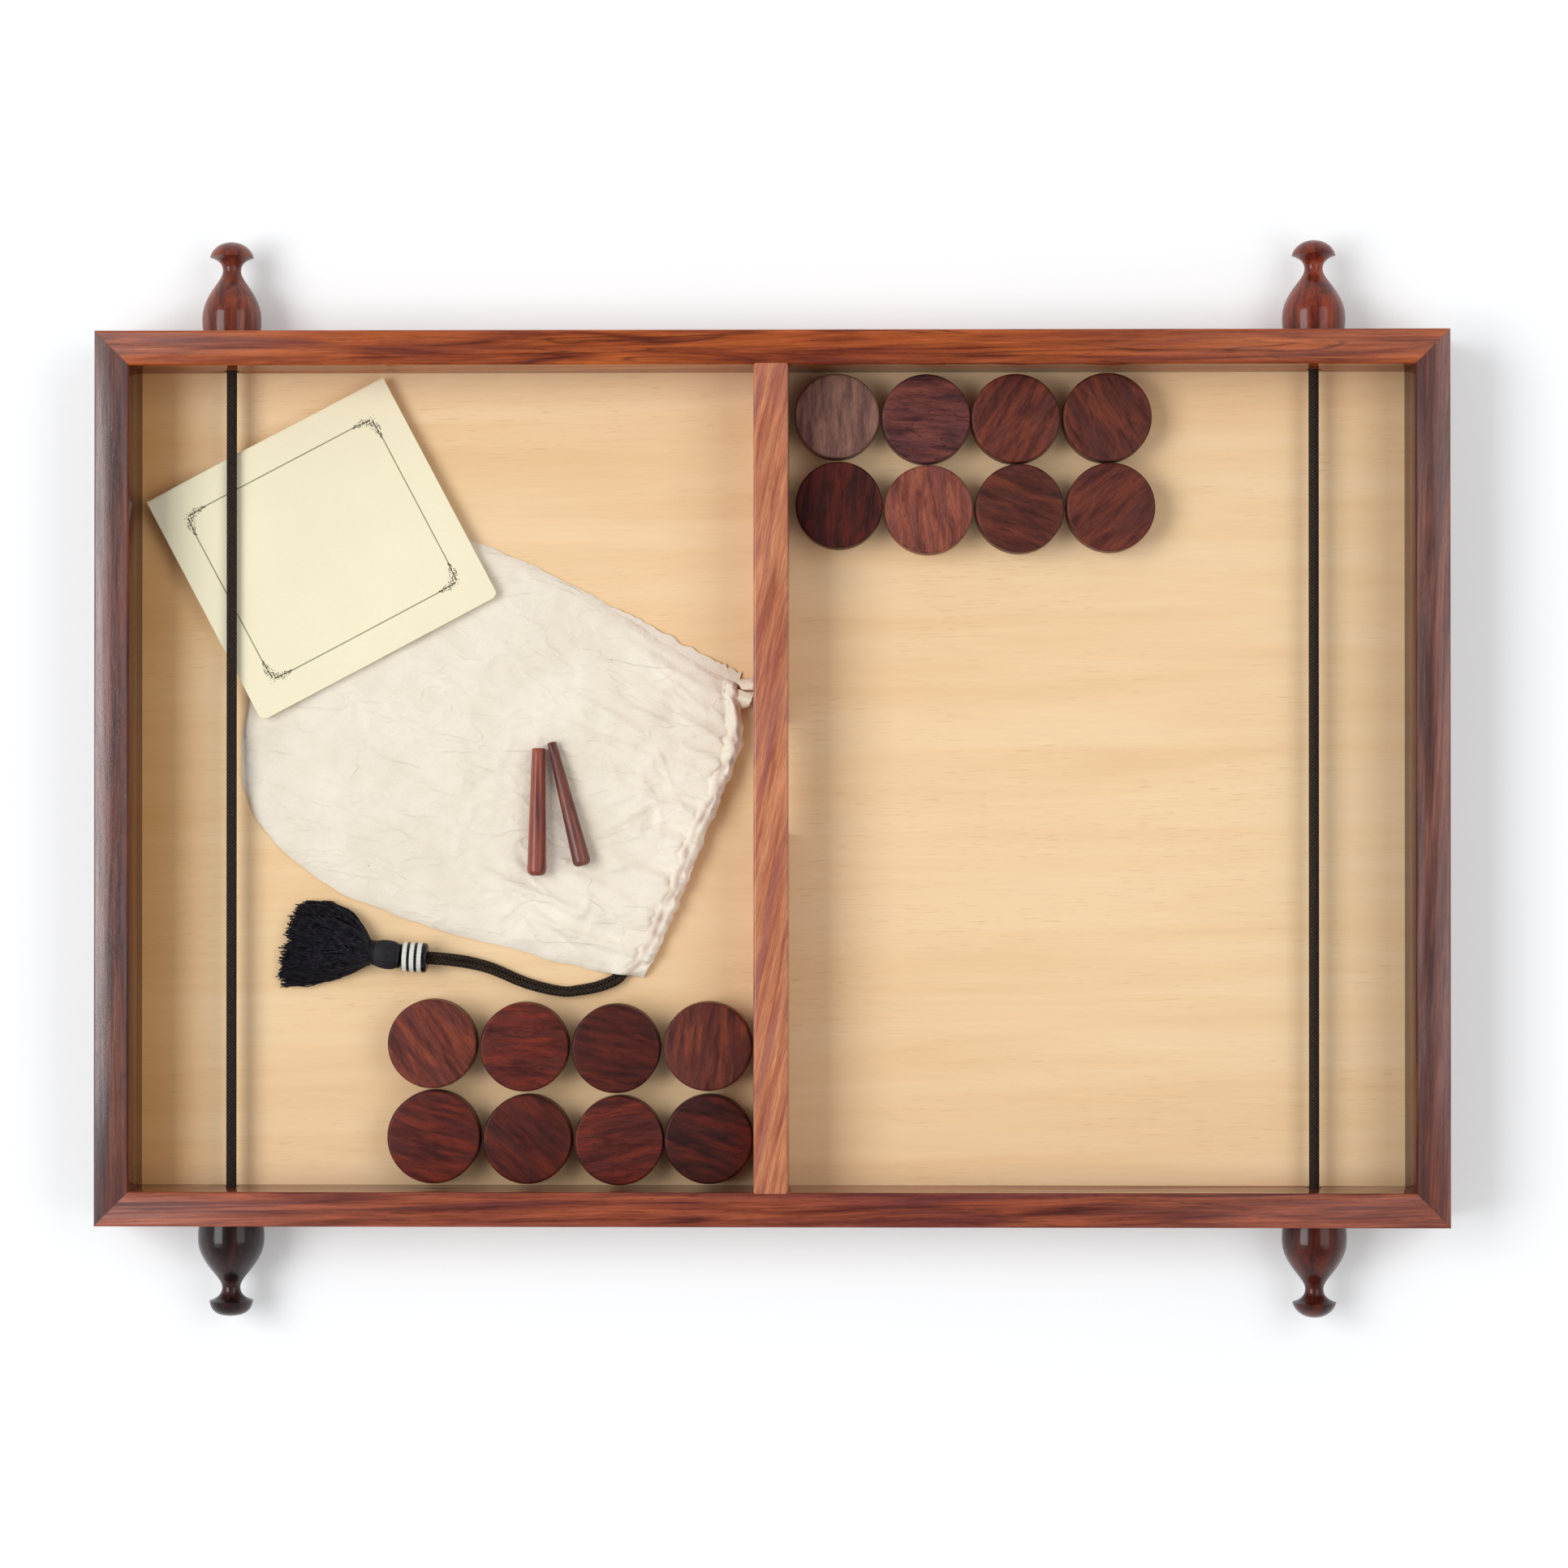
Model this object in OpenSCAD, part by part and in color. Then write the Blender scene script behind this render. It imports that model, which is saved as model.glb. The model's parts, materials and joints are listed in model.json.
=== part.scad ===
// Sling puck board: a shallow framed tray, split by a divider with a gate, with an elastic across
// each end, turned knobs outside the long rails, and the loose pieces of the game laid inside.
// Millimetres. X runs along the long rails, Y across the board, Z up.
// The origin is on the table, under the middle of the board.

/* [Frame] */
// Outside length of the frame
board_l = 680; // [660:5:760]
// Outside width of the frame
board_w = 450; // [440:5:520]
// Height of the four rails
rail_h = 48; // [46:1:56]
// Thickness of the four rails
rail_t = 17.5; // [16:0.5:22]
// Radius of the rails' top edge on the playing side
inner_edge_r = 1; // [0.5:0.5:3]
// Radius of the rails' top edge on the outside
outer_edge_r = 1.5; // [0.5:0.5:4]
// How much the rails' top stands up in its middle
rail_crown = 0.9; // [0.1:0.1:1.2]

/* [Floor] */
// Thickness of the plywood floor
floor_t = 4; // [3:0.5:6]
// Height of the floor's underside above the table
floor_lift = 4; // [3:0.5:6]
// Depth of the groove that holds the floor
groove_d = 5; // [3:0.5:6]
// Play between the floor's edge and the bottom of its groove
groove_play = 0.4; // [0.2:0.1:0.8]

/* [Divider] */
// Thickness of the divider
divider_t = 17.5; // [14:0.5:22]
// How far the divider's top lies below the rim
divider_drop = 1; // [0.5:0.5:3]
// Depth of the housing that holds each end of the divider
housing_d = 3; // [2:0.5:5]
// Radius of the divider's top edges
divider_edge_r = 1.5; // [0.5:0.5:3]
// Width of the gate
gate_w = 56; // [50:1:70]
// Height of the gate
gate_h = 22; // [19:0.5:26]
// Radius of the gate's top corners
gate_r = 5; // [2:0.5:8]

/* [Elastics] */
// Diameter of the elastic cord
elastic_d = 5.2; // [4:0.1:6]
// Distance from the end wall to the middle of the elastic
elastic_inset = 47.5; // [35:0.5:60]
// Height of the elastic's middle above the floor
elastic_h = 10.5; // [10:0.5:14]
// Play round the elastic in its hole, on each side
elastic_play = 1.2; // [0.6:0.1:1.6]
// Diameter of the knot at each end of the elastic
knot_d = 10.4; // [9:0.1:10.8]
// Length of the knot
knot_l = 8; // [6:0.5:10]

/* [Knobs] */
// Length of a knob beyond the rail
knob_l = 48.2; // [42:0.2:56]
// Radius of a knob where it meets the rail
knob_foot_r = 15.4; // [12:0.1:17]
// Radius of a knob where it is widest
knob_belly_r = 16; // [13:0.1:17]
// Distance from the rail to the widest place
knob_belly_at = 9; // [6:0.5:11]
// Radius of the neck
knob_neck_r = 4.6; // [3:0.1:6]
// Distance from the rail to the neck
knob_neck_at = 33.5; // [28:0.5:36]
// Radius of the cap
knob_cap_r = 11.1; // [8:0.1:13]
// Length of the cap from its sharp edge to its end
knob_cap_l = 7.8; // [5:0.1:8.4]
// Diameter of the plug that goes into the rail
plug_d = 14; // [13.6:0.1:16]
// Length of the plug
plug_l = 8; // [6:0.5:10]
// Running clearance of the plug in the rail, on each side
plug_fit = 0.05; // [0.03:0.01:0.1]
// Play round the knot inside the knob, on each side
knot_play = 0.3; // [0.2:0.1:0.5]

/* [Pucks] */
// Diameter of a puck
puck_d = 45; // [42:0.5:46]
// Thickness of a puck
puck_t = 16; // [12:0.5:18]
// Radius of a puck's edges
puck_edge_r = 1.5; // [0.5:0.1:3]
// Space between the pucks of the right-hand half
right_space = 0.8; // [0.8:0.1:2]
// Space between the pucks of the left-hand half
left_space = 1.4; // [1.4:0.1:2.4]
// Space between the outer pucks and the walls that they stand by
wall_space = 2; // [1.8:0.1:5]

/* [Pegs] */
// Length of a tensioning peg
peg_l = 65; // [50:1:80]
// Radius of the first peg's thin end
peg_1_thin_r = 3.4; // [2.4:0.1:3.8]
// Radius of the first peg's round end
peg_1_round_r = 4.9; // [4:0.1:6]
// Radius of the second peg's thin end
peg_2_thin_r = 2.4; // [1.6:0.1:2.8]
// Radius of the second peg's round end
peg_2_round_r = 4.6; // [4:0.1:6]

/* [Bag] */
// Length of the flat bag from its mouth to its round end
bag_l = 240; // [200:5:250]
// Width of the flat bag where it is widest
bag_w = 190; // [160:5:195]
// Thickness of the flat bag
bag_t = 3.6; // [2:0.2:4]
// Thickness of the gathered casing at the mouth
casing_t = 7.5; // [4:0.5:9]
// Width of the casing
casing_w = 14; // [14:1:20]
// Distance from the divider to the middle of the mouth
mouth_inset = 28; // [26:1:34]
// Distance from the board's middle line forward to the middle of the mouth
mouth_front = 25; // [20:1:30]
// Turn of the bag on the board, in degrees
bag_turn = -18.8; // [-20:0.2:-16]

/* [Drawstring] */
// Diameter of each strand of the drawstring
string_d = 3.2; // [2.4:0.1:3.4]
// Space between the two strands
string_space = 0.4; // [0.4:0.1:0.8]
// Play round the strands in the bead, on each side
bead_play = 0.25; // [0.2:0.05:0.5]
// Diameter of the bead
bead_d = 15.3; // [12:0.1:15.6]
// Length of the bead
bead_l = 13.3; // [10:0.1:13.4]
// Diameter of the tassel's bound head
head_d = 15; // [9:0.1:15.2]
// Length of the tassel's bound head
head_l = 16.5; // [8:0.5:18]
// Length of the tassel's threads
skirt_l = 46; // [30:1:50]
// Width over the spread threads
skirt_w = 46; // [24:1:48]
// Thickness of the threads at their ends
skirt_t = 8; // [4:0.5:9]

/* [Booklet] */
// Length of the booklet along its fold
booklet_l = 136.5; // [110:0.5:140]
// Width of the booklet from its fold to its open edge
booklet_w = 126; // [100:0.5:130]
// Thickness of each side of the cover
cover_t = 0.5; // [0.3:0.1:0.6]
// Thickness of the pages
pages_t = 1.1; // [0.6:0.1:1.3]
// How far the pages stay back from the cover's edges
pages_back = 1; // [0.5:0.5:3]
// Turn of the booklet on the board, in degrees
booklet_turn = 27.9; // [24:0.1:34]
// Space between the booklet's corner and the end wall
booklet_wall = 3.4; // [2:0.1:10]
// Space between the booklet's corner and the back wall
booklet_back = 2.9; // [2:0.1:10]

/* [Hidden] */
$fn = 64;

// Colours as the photograph shows them
redwood = [0.55, 0.29, 0.21];
darkwood = [0.36, 0.18, 0.16];
plywood = [0.89, 0.76, 0.58];
black = [0.07, 0.07, 0.08];
cotton = [0.93, 0.90, 0.84];
paper = [0.93, 0.92, 0.74];

// Clearances
eps = 0.01;         // how far a cutter reaches past the face that it cuts
hard_lay = 0.1;     // under a hard, flat piece that lies loose
soft_lay = 0.3;     // under a soft or round piece that lies loose
seat_gap = 0.3;     // between a soft piece and what it ends against
shoulder_gap = 0.5; // between a plug's end and the bottom of its hole
hollow_spare = 1.5; // beyond the knot, inside the knob

// The playing space
inner_l = board_l - 2 * rail_t;
inner_w = board_w - 2 * rail_t;
floor_top = floor_lift + floor_t;
divider_top = rail_h - divider_drop;

// Each elastic shares its axis with the two knobs that it ends in
elastic_x = inner_l / 2 - elastic_inset;
elastic_z = floor_top + elastic_h;
elastic_hole_r = elastic_d / 2 + elastic_play;
plug_hole_r = plug_d / 2 + plug_fit;
plug_hole_l = plug_l + shoulder_gap;
hollow_r = knot_d / 2 + knot_play;
hollow_end = knot_l + seat_gap + hollow_spare - plug_hole_l;

// How each hand-turned knob differs: radius of the belly, and how full its cap's dome is
knob_back_left_turning = [-1, 0.6];
knob_back_right_turning = [0, 0.6];
knob_front_left_turning = [0.8, 0.85];
knob_front_right_turning = [0.4, 0.6];

// Where the pucks were put down: how far each lies from its place in the rows, and how much its
// diameter differs. The first four stand by the back wall, the next four in front of them.
right_pucks = [[-0.1, 0.8, -2], [-0.7, -0.5, 0], [-1.1, -0.4, 0], [-0.5, 0.1, 0],
  [0.9, 1.5, -1], [0.5, -0.8, 0], [0.9, -0.3, 0], [1.3, 0.3, 0]];
// The first four of these stand by the front wall.
left_pucks = [[1.3, -0.1, 0], [2.2, -0.8, 0], [2.1, -0.2, 0], [0.9, 1, 2],
  [0.9, 0.6, 0], [0.6, -0.5, 0], [0.5, 0.3, 0], [0.1, 1.9, 0]];
row_count = 4;

// The bag's mouth, and the points of its outline as shares of its length and width
mouth = [-divider_t / 2 - mouth_inset, -mouth_front];
bag_outline = [[-0.014, -0.41], [-0.1, -0.44], [-0.27, -0.472], [-0.57, -0.488], [-0.80, -0.44],
  [-0.952, -0.285], [-1, 0.04], [-0.91, 0.37], [-0.80, 0.485], [-0.65, 0.535], [-0.32, 0.49],
  [-0.14, 0.45], [-0.02, 0.43], [0.012, 0.25]];
outline_steps = 3;

// Thin ends of the two pegs, measured from the bag's mouth, and the way that each points
peg_1_at = [-82, 40.5];
peg_1_way = -90.8;
peg_2_at = [-75.5, 43.5];
peg_2_way = -75.7;

// The drawstring's route from the casing to the tassel: from the bag's mouth, and above the floor
string_route = [[-41.6, -76.6, 2.2], [-43, -77.7, 2.2], [-45, -78.6, 2], [-53, -81.4, 2],
  [-62, -83, 2], [-71, -83.5, 2], [-88, -79.5, 2], [-106, -72, 2],
  [-117, -69, 3], [-125, -67.6, 5], [-132, -66.8, 7], [-138, -66.3, 8], [-151.2, -65.7, 8]];
string_steps = 2;
string_sides = 8;
bead_at = [-145.2, -66, 8];
bead_way = 177;
head_way = 172;
skirt_way = 174;

// Points of an arc round [x, y], from angle a to angle b
function arc(x, y, r, a, b, n = 6) =
  [for (i = [0 : n]) [x + r * cos(a + (b - a) * i / n), y + r * sin(a + (b - a) * i / n)]];

// Points of a cubic curve after its first point
function cubic(a, b, c, d, t) =
  pow(1 - t, 3) * a + 3 * pow(1 - t, 2) * t * b + 3 * (1 - t) * t * t * c + t * t * t * d;
function curve(a, b, c, d, n = 8) = [for (i = [1 : n]) cubic(a, b, c, d, i / n)];

// A smooth line through every point of a list, with n steps between neighbours
function blend(a, b, c, d, t) =
  0.5 * (2 * b + (c - a) * t + (2 * a - 5 * b + 4 * c - d) * t * t
    + (3 * b - a - 3 * c + d) * t * t * t);
function smooth(p, n) = let (m = len(p) - 1)
  [for (i = [0 : m - 1], k = [0 : n - 1])
      blend(p[max(i - 1, 0)], p[i], p[i + 1], p[min(i + 2, m)], k / n), p[m]];

function unit(v) = v / norm(v);
function ahead(p, i) = unit(p[min(i + 1, len(p) - 1)] - p[max(i - 1, 0)]);
function across(p, i) = let (t = ahead(p, i)) unit([-t.y, t.x, 0]);

// The rings of a tube that runs beside a route, a distance aside to its left
function ring(p, i, r, aside, sides) = let (s = across(p, i), up = cross(ahead(p, i), s))
  [for (k = [0 : sides - 1]) let (a = 360 * (k + 0.5) / sides)
      p[i] + s * (aside + r * cos(a)) + up * r * sin(a)];

// A closed tube of flat faces through such rings
module tube(p, r, aside, sides) {
  m = len(p);
  points = [for (i = [0 : m - 1]) each ring(p, i, r, aside, sides)];
  walls = [for (i = [0 : m - 2], k = [0 : sides - 1])
      let (j = (k + 1) % sides, a = i * sides, b = a + sides)
      each [[a + k, b + k, b + j], [a + k, b + j, a + j]]];
  first = [for (k = [1 : sides - 2]) [0, k, k + 1]];
  last = [for (k = [1 : sides - 2]) let (e = (m - 1) * sides) [e, e + k + 1, e + k]];
  polyhedron(points, concat(walls, first, last), convexity = 6);
}

// Frame
// A rail's cross-section, from its outside face at 0 to its playing side at rail_t
function rail_section() = let (
    shoulder = rail_h - rail_crown,
    left = outer_edge_r,
    right = rail_t - inner_edge_r)
  concat([[0, 0], [rail_t, 0]],
    arc(right, shoulder - inner_edge_r, inner_edge_r, 0, 84),
    [for (i = [1 : 7]) let (s = i / 8)
        [right + (left - right) * s, shoulder + rail_crown * (1 - pow(2 * s - 1, 2))]],
    arc(left, shoulder - outer_edge_r, outer_edge_r, 96, 180));

// A grooved rail with mitred ends, along X, its outside face at y = 0
module rail(length) {
  difference() {
    translate([-length / 2, 0, 0]) rotate([90, 0, 90])
      linear_extrude(length) polygon(rail_section());
    for (side = [-1, 1])
      translate([0, 0, -1]) linear_extrude(rail_h + 2)
        polygon([[side * (length / 2 + 1), -1], [side * (length / 2 + 1), rail_t + 1],
            [side * (length / 2 - rail_t - 1), rail_t + 1]]);
    translate([-length / 2, rail_t - groove_d, floor_lift])
      cube([length, groove_d + eps, floor_t]);
  }
}

// A long rail also has the divider's housing and the stepped holes of the elastics
module long_rail() {
  color(redwood) difference() {
    rail(board_l);
    translate([0, rail_t + board_w, 0]) divider_bar(board_w + housing_d, floor_top - eps);
    for (side = [-1, 1]) translate([side * elastic_x, 0, elastic_z]) rotate([-90, 0, 0]) {
      translate([0, 0, -1]) cylinder(r = elastic_hole_r, h = rail_t + 2);
      translate([0, 0, -1]) cylinder(r = plug_hole_r, h = plug_hole_l + 1);
    }
  }
}

module front_rail() { translate([0, -board_w / 2, 0]) long_rail(); }
module back_rail() { rotate([0, 0, 180]) front_rail(); }
module left_rail() {
  color(redwood) translate([-board_l / 2, 0, 0]) rotate([0, 0, -90]) rail(board_w);
}
module right_rail() { rotate([0, 0, 180]) left_rail(); }

module floor_panel() {
  reach = 2 * (groove_d - groove_play);
  color(plywood) translate([-(inner_l + reach) / 2, -(inner_w + reach) / 2, floor_lift])
    cube([inner_l + reach, inner_w + reach, floor_t]);
}

// The divider's bar along Y, to each side of the middle by half, from a height up to its top
module divider_bar(half, bottom) {
  r = divider_edge_r;
  side = divider_t / 2;
  translate([0, half, 0]) rotate([90, 0, 0]) linear_extrude(2 * half)
    polygon(concat([[-side, bottom], [side, bottom]],
        arc(side - r, divider_top - r, r, 0, 90), arc(r - side, divider_top - r, r, 90, 180)));
}

// The gate is a mouse-hole at floor level, just wide enough for a puck
module gate_cut() {
  r = gate_r;
  side = gate_w / 2;
  rotate([90, 0, 90]) translate([0, floor_top, -divider_t]) linear_extrude(2 * divider_t)
    polygon(concat([[-side, -1], [side, -1]],
        arc(side - r, gate_h - r, r, 0, 90), arc(r - side, gate_h - r, r, 90, 180)));
}

module centre_divider() {
  color(redwood) difference() {
    divider_bar(inner_w / 2 + housing_d, floor_top);
    gate_cut();
  }
}

// Elastics and knobs
// An elastic runs through both long rails and is knotted behind a shoulder in each
module elastic(side) {
  end = board_w / 2 - plug_hole_l + seat_gap;
  r = elastic_d / 2;
  soft = knot_d / 4;
  color(black) translate([side * elastic_x, 0, elastic_z]) rotate([-90, 0, 0]) {
    translate([0, 0, -end]) cylinder(r = r, h = 2 * end);
    for (turn = [0, 180]) rotate([turn, 0, 0]) translate([0, 0, end - eps])
      rotate_extrude() polygon(concat([[0, 0]], arc(knot_d / 2 - soft, soft, soft, -90, 0),
          arc(knot_d / 2 - soft, knot_l - soft, soft, 0, 90), [[0, knot_l]]));
  }
}
module left_elastic() { elastic(-1); }
module right_elastic() { elastic(1); }

// A knob's outline: hollow plug, foot, belly, neck, flared cap and dome
function knob_outline(more, dome) = let (
    foot = [knob_foot_r + more, 0],
    belly = [knob_belly_r + more, knob_belly_at],
    neck = [knob_neck_r, knob_neck_at],
    rim = [knob_cap_r, knob_l - knob_cap_l],
    taper = neck.y - belly.y,
    flare = rim - neck,
    end = [0, knob_l])
  concat([[hollow_r, -plug_l], [plug_d / 2, -plug_l], [plug_d / 2, 0], foot],
    curve(foot, foot + [0.3, belly.y / 3], belly - [0, belly.y / 3], belly, 4),
    curve(belly, belly + [0, 0.5 * taper], neck - [0, 0.22 * taper], neck, 10),
    curve(neck, neck + [0, 0.55 * flare.y], neck + [0.4 * flare.x, 0.82 * flare.y], rim, 6),
    curve(rim, rim + [-0.06 * rim.x, 0.45 * knob_cap_l], end + [dome * rim.x, 0], end, 8),
    [[0, hollow_end], [hollow_r, hollow_end]]);

// A knob at one end of an elastic: side is -1 or 1 along X, and back is -1 or 1 along Y
module knob(side, back, turning) {
  color(darkwood) translate([side * elastic_x, back * board_w / 2, elastic_z])
    rotate([-90 * back, 0, 0]) rotate_extrude() polygon(knob_outline(turning[0], turning[1]));
}
module knob_back_left() { knob(-1, 1, knob_back_left_turning); }
module knob_back_right() { knob(1, 1, knob_back_right_turning); }
module knob_front_left() { knob(-1, -1, knob_front_left_turning); }
module knob_front_right() { knob(1, -1, knob_front_right_turning); }

// Pucks
module puck(d) {
  r = puck_edge_r;
  rotate_extrude() polygon(concat([[0, 0]], arc(d / 2 - r, r, r, -90, 0),
      arc(d / 2 - r, puck_t - r, r, 0, 90), [[0, puck_t]]));
}

// The i-th puck of a half: side is 1 in the right half, whose rows start at the back wall, and -1
// in the left half, whose rows start at the front wall
module placed_puck(side, i) {
  how = side > 0 ? right_pucks[i] : left_pucks[i];
  space = side > 0 ? right_space : left_space;
  pitch = puck_d + space;
  along = divider_t / 2 + wall_space + puck_d / 2 + (i % row_count) * pitch;
  up = inner_w / 2 - wall_space - puck_d / 2 - floor(i / row_count) * pitch;
  color(darkwood) translate([side * along + how.x, side * up + how.y, floor_top + hard_lay])
    puck(puck_d + how.z);
}
module puck_01() { placed_puck(1, 0); }
module puck_02() { placed_puck(1, 1); }
module puck_03() { placed_puck(1, 2); }
module puck_04() { placed_puck(1, 3); }
module puck_05() { placed_puck(1, 4); }
module puck_06() { placed_puck(1, 5); }
module puck_07() { placed_puck(1, 6); }
module puck_08() { placed_puck(1, 7); }
module puck_09() { placed_puck(-1, 0); }
module puck_10() { placed_puck(-1, 1); }
module puck_11() { placed_puck(-1, 2); }
module puck_12() { placed_puck(-1, 3); }
module puck_13() { placed_puck(-1, 4); }
module puck_14() { placed_puck(-1, 5); }
module puck_15() { placed_puck(-1, 6); }
module puck_16() { placed_puck(-1, 7); }

// Pegs
// A tapered peg that lies on the bag: at and way give its thin end and the way that it points
module peg(thin_r, round_r, at, way) {
  lean = asin((round_r - thin_r) / peg_l);
  end_r = 0.6 * round_r;
  nose = 0.5;
  color(redwood)
    translate([mouth.x + at.x, mouth.y + at.y, floor_top + soft_lay + bag_t + soft_lay + thin_r])
      rotate([0, 0, way]) rotate([0, 90 - lean, 0]) rotate_extrude()
        polygon(concat([[0, 0], [thin_r - nose, 0], [thin_r, nose]],
            arc(round_r - end_r, peg_l - end_r, end_r, 0, 90), [[0, peg_l]]));
}
module tension_peg_1() { peg(peg_1_thin_r, peg_1_round_r, peg_1_at, peg_1_way); }
module tension_peg_2() { peg(peg_2_thin_r, peg_2_round_r, peg_2_at, peg_2_way); }

// Bag
// The bag's outline in its own axes: its mouth on the Y axis, its round end towards -X
module bag_shape() {
  polygon(smooth([for (p = bag_outline) [p.x * bag_l, p.y * bag_w]], outline_steps));
}
module on_bag() {
  translate([mouth.x, mouth.y, floor_top + soft_lay]) rotate([0, 0, bag_turn]) children();
}
module bag_body() {
  color(cotton) on_bag() linear_extrude(bag_t) intersection() {
    bag_shape();
    translate([-2 * bag_l - casing_w, -bag_w]) square([2 * bag_l, 2 * bag_w]);
  }
}
module bag_casing() {
  color(cotton) on_bag() linear_extrude(casing_t) intersection() {
    bag_shape();
    translate([-casing_w, -bag_w]) square([2 * bag_l, 2 * bag_w]);
  }
}

// Drawstring
module string_strand(side) {
  route = [for (p = smooth(string_route, string_steps)) p + [mouth.x, mouth.y, floor_top]];
  color(black) tube(route, string_d / 2, side * (string_d + string_space) / 2, string_sides);
}
module drawstring_inner() { string_strand(-1); }
module drawstring_outer() { string_strand(1); }

// A place along the bead's axis, measured from the bead's middle and turned by an angle
module from_bead(way, along) {
  start = bead_l / 2 * [cos(bead_way), sin(bead_way)];
  translate([mouth.x + bead_at.x + start.x, mouth.y + bead_at.y + start.y, floor_top + bead_at.z])
    rotate([0, 0, way]) translate([along, 0, 0]) rotate([0, 90, 0]) children();
}
module bead() {
  r = bead_d / 2;
  soft = 1.5;
  bore = string_d + string_space / 2 + bead_play;
  color(black) from_bead(bead_way, -bead_l) rotate_extrude()
    polygon(concat([[bore, 0]], arc(r - soft, soft, soft, -90, 0),
        arc(r - soft, bead_l - soft, soft, 0, 90), [[bore, bead_l]]));
}
module tassel_head() {
  r = head_d / 2;
  color(black) from_bead(head_way, seat_gap) rotate_extrude()
    polygon(concat([[0, 0], [0.6 * r, 0]],
        curve([0.6 * r, 0], [r, 0], [r, 0.3 * head_l], [r, 0.5 * head_l]),
        curve([r, 0.5 * head_l], [r, 0.8 * head_l], [0.8 * r, head_l], [0.8 * r, head_l], 4),
        [[0, head_l]]));
}

// A flat oval slice of the threads, a length away from the head, lying on the floor
module slice(along, wide, thick) {
  drop = floor_top + soft_lay + thick / 2 - (floor_top + bead_at.z);
  translate([-drop, 0, along]) linear_extrude(1)
    polygon([for (i = [0 : 23]) [thick / 2 * cos(15 * i), wide / 2 * sin(15 * i)]]);
}
module tassel_skirt() {
  start = head_l + 2 * seat_gap;
  color(black) from_bead(skirt_way, start) hull() {
    cylinder(r = 0.4 * head_d, h = 1, $fn = 24);
    slice(0.4 * skirt_l, 0.95 * skirt_w, 1.3 * skirt_t);
    slice(0.7 * skirt_l, skirt_w, 1.15 * skirt_t);
    slice(skirt_l - 1, 0.93 * skirt_w, skirt_t);
  }
}

// Booklet
// The booklet lies turned in the back left corner, half on the bag, under the elastic
module on_booklet() {
  c = cos(booklet_turn);
  s = sin(booklet_turn);
  reach_x = (booklet_l * c + booklet_w * s) / 2;
  reach_y = (booklet_l * s + booklet_w * c) / 2;
  translate([-inner_l / 2 + booklet_wall + reach_x, inner_w / 2 - booklet_back - reach_y,
      floor_top + soft_lay + bag_t + soft_lay])
    rotate([0, 0, booklet_turn]) children();
}

// The cover is folded along its upper long side, so the pages lie in a slot open on three sides
module booklet_cover() {
  slot = pages_t + hard_lay;
  color(paper) on_booklet() difference() {
    translate([-booklet_l / 2, -booklet_w / 2, 0]) cube([booklet_l, booklet_w, slot + 2 * cover_t]);
    translate([-booklet_l / 2 - 1, -booklet_w / 2 - 1, cover_t])
      cube([booklet_l + 2, booklet_w + 1 - cover_t, slot]);
  }
}
module booklet_pages() {
  color(paper) on_booklet() translate([-booklet_l / 2 + pages_back, -booklet_w / 2 + pages_back,
      cover_t])
    cube([booklet_l - 2 * pages_back, booklet_w - pages_back - cover_t, pages_t]);
}

back_rail();
front_rail();
left_rail();
right_rail();
floor_panel();
centre_divider();
left_elastic();
right_elastic();
knob_back_left();
knob_back_right();
knob_front_left();
knob_front_right();
puck_01();
puck_02();
puck_03();
puck_04();
puck_05();
puck_06();
puck_07();
puck_08();
puck_09();
puck_10();
puck_11();
puck_12();
puck_13();
puck_14();
puck_15();
puck_16();
tension_peg_1();
tension_peg_2();
bag_body();
bag_casing();
drawstring_inner();
drawstring_outer();
bead();
tassel_head();
tassel_skirt();
booklet_cover();
booklet_pages();
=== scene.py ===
import json
import random
from math import atan2, copysign, cos, exp, pi, radians, sin, sqrt

import bpy
from mathutils import Matrix, Vector, noise

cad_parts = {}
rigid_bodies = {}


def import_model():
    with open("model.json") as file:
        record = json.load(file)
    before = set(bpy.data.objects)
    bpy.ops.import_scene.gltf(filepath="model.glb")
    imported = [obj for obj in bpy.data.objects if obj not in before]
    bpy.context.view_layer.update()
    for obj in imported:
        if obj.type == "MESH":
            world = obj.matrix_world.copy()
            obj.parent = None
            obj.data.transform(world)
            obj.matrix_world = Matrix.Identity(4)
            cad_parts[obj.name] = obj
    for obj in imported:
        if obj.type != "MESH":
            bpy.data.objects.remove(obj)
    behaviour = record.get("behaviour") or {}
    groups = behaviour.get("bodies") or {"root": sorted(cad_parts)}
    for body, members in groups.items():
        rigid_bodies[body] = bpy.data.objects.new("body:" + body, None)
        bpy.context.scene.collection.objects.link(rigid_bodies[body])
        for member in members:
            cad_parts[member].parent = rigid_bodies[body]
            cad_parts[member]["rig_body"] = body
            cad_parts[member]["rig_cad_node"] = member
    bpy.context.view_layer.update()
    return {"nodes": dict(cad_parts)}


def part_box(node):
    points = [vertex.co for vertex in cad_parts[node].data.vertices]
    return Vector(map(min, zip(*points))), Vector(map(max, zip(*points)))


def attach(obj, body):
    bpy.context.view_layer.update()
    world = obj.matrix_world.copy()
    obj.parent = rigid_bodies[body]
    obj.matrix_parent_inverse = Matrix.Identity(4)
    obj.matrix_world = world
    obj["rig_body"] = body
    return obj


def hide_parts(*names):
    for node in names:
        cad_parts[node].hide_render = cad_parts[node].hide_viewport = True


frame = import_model()
nodes = frame["nodes"]
mm = 0.001


# Small helpers
def pick(obj):
    bpy.ops.object.select_all(action="DESELECT")
    obj.select_set(True)
    bpy.context.view_layer.objects.active = obj


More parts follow.
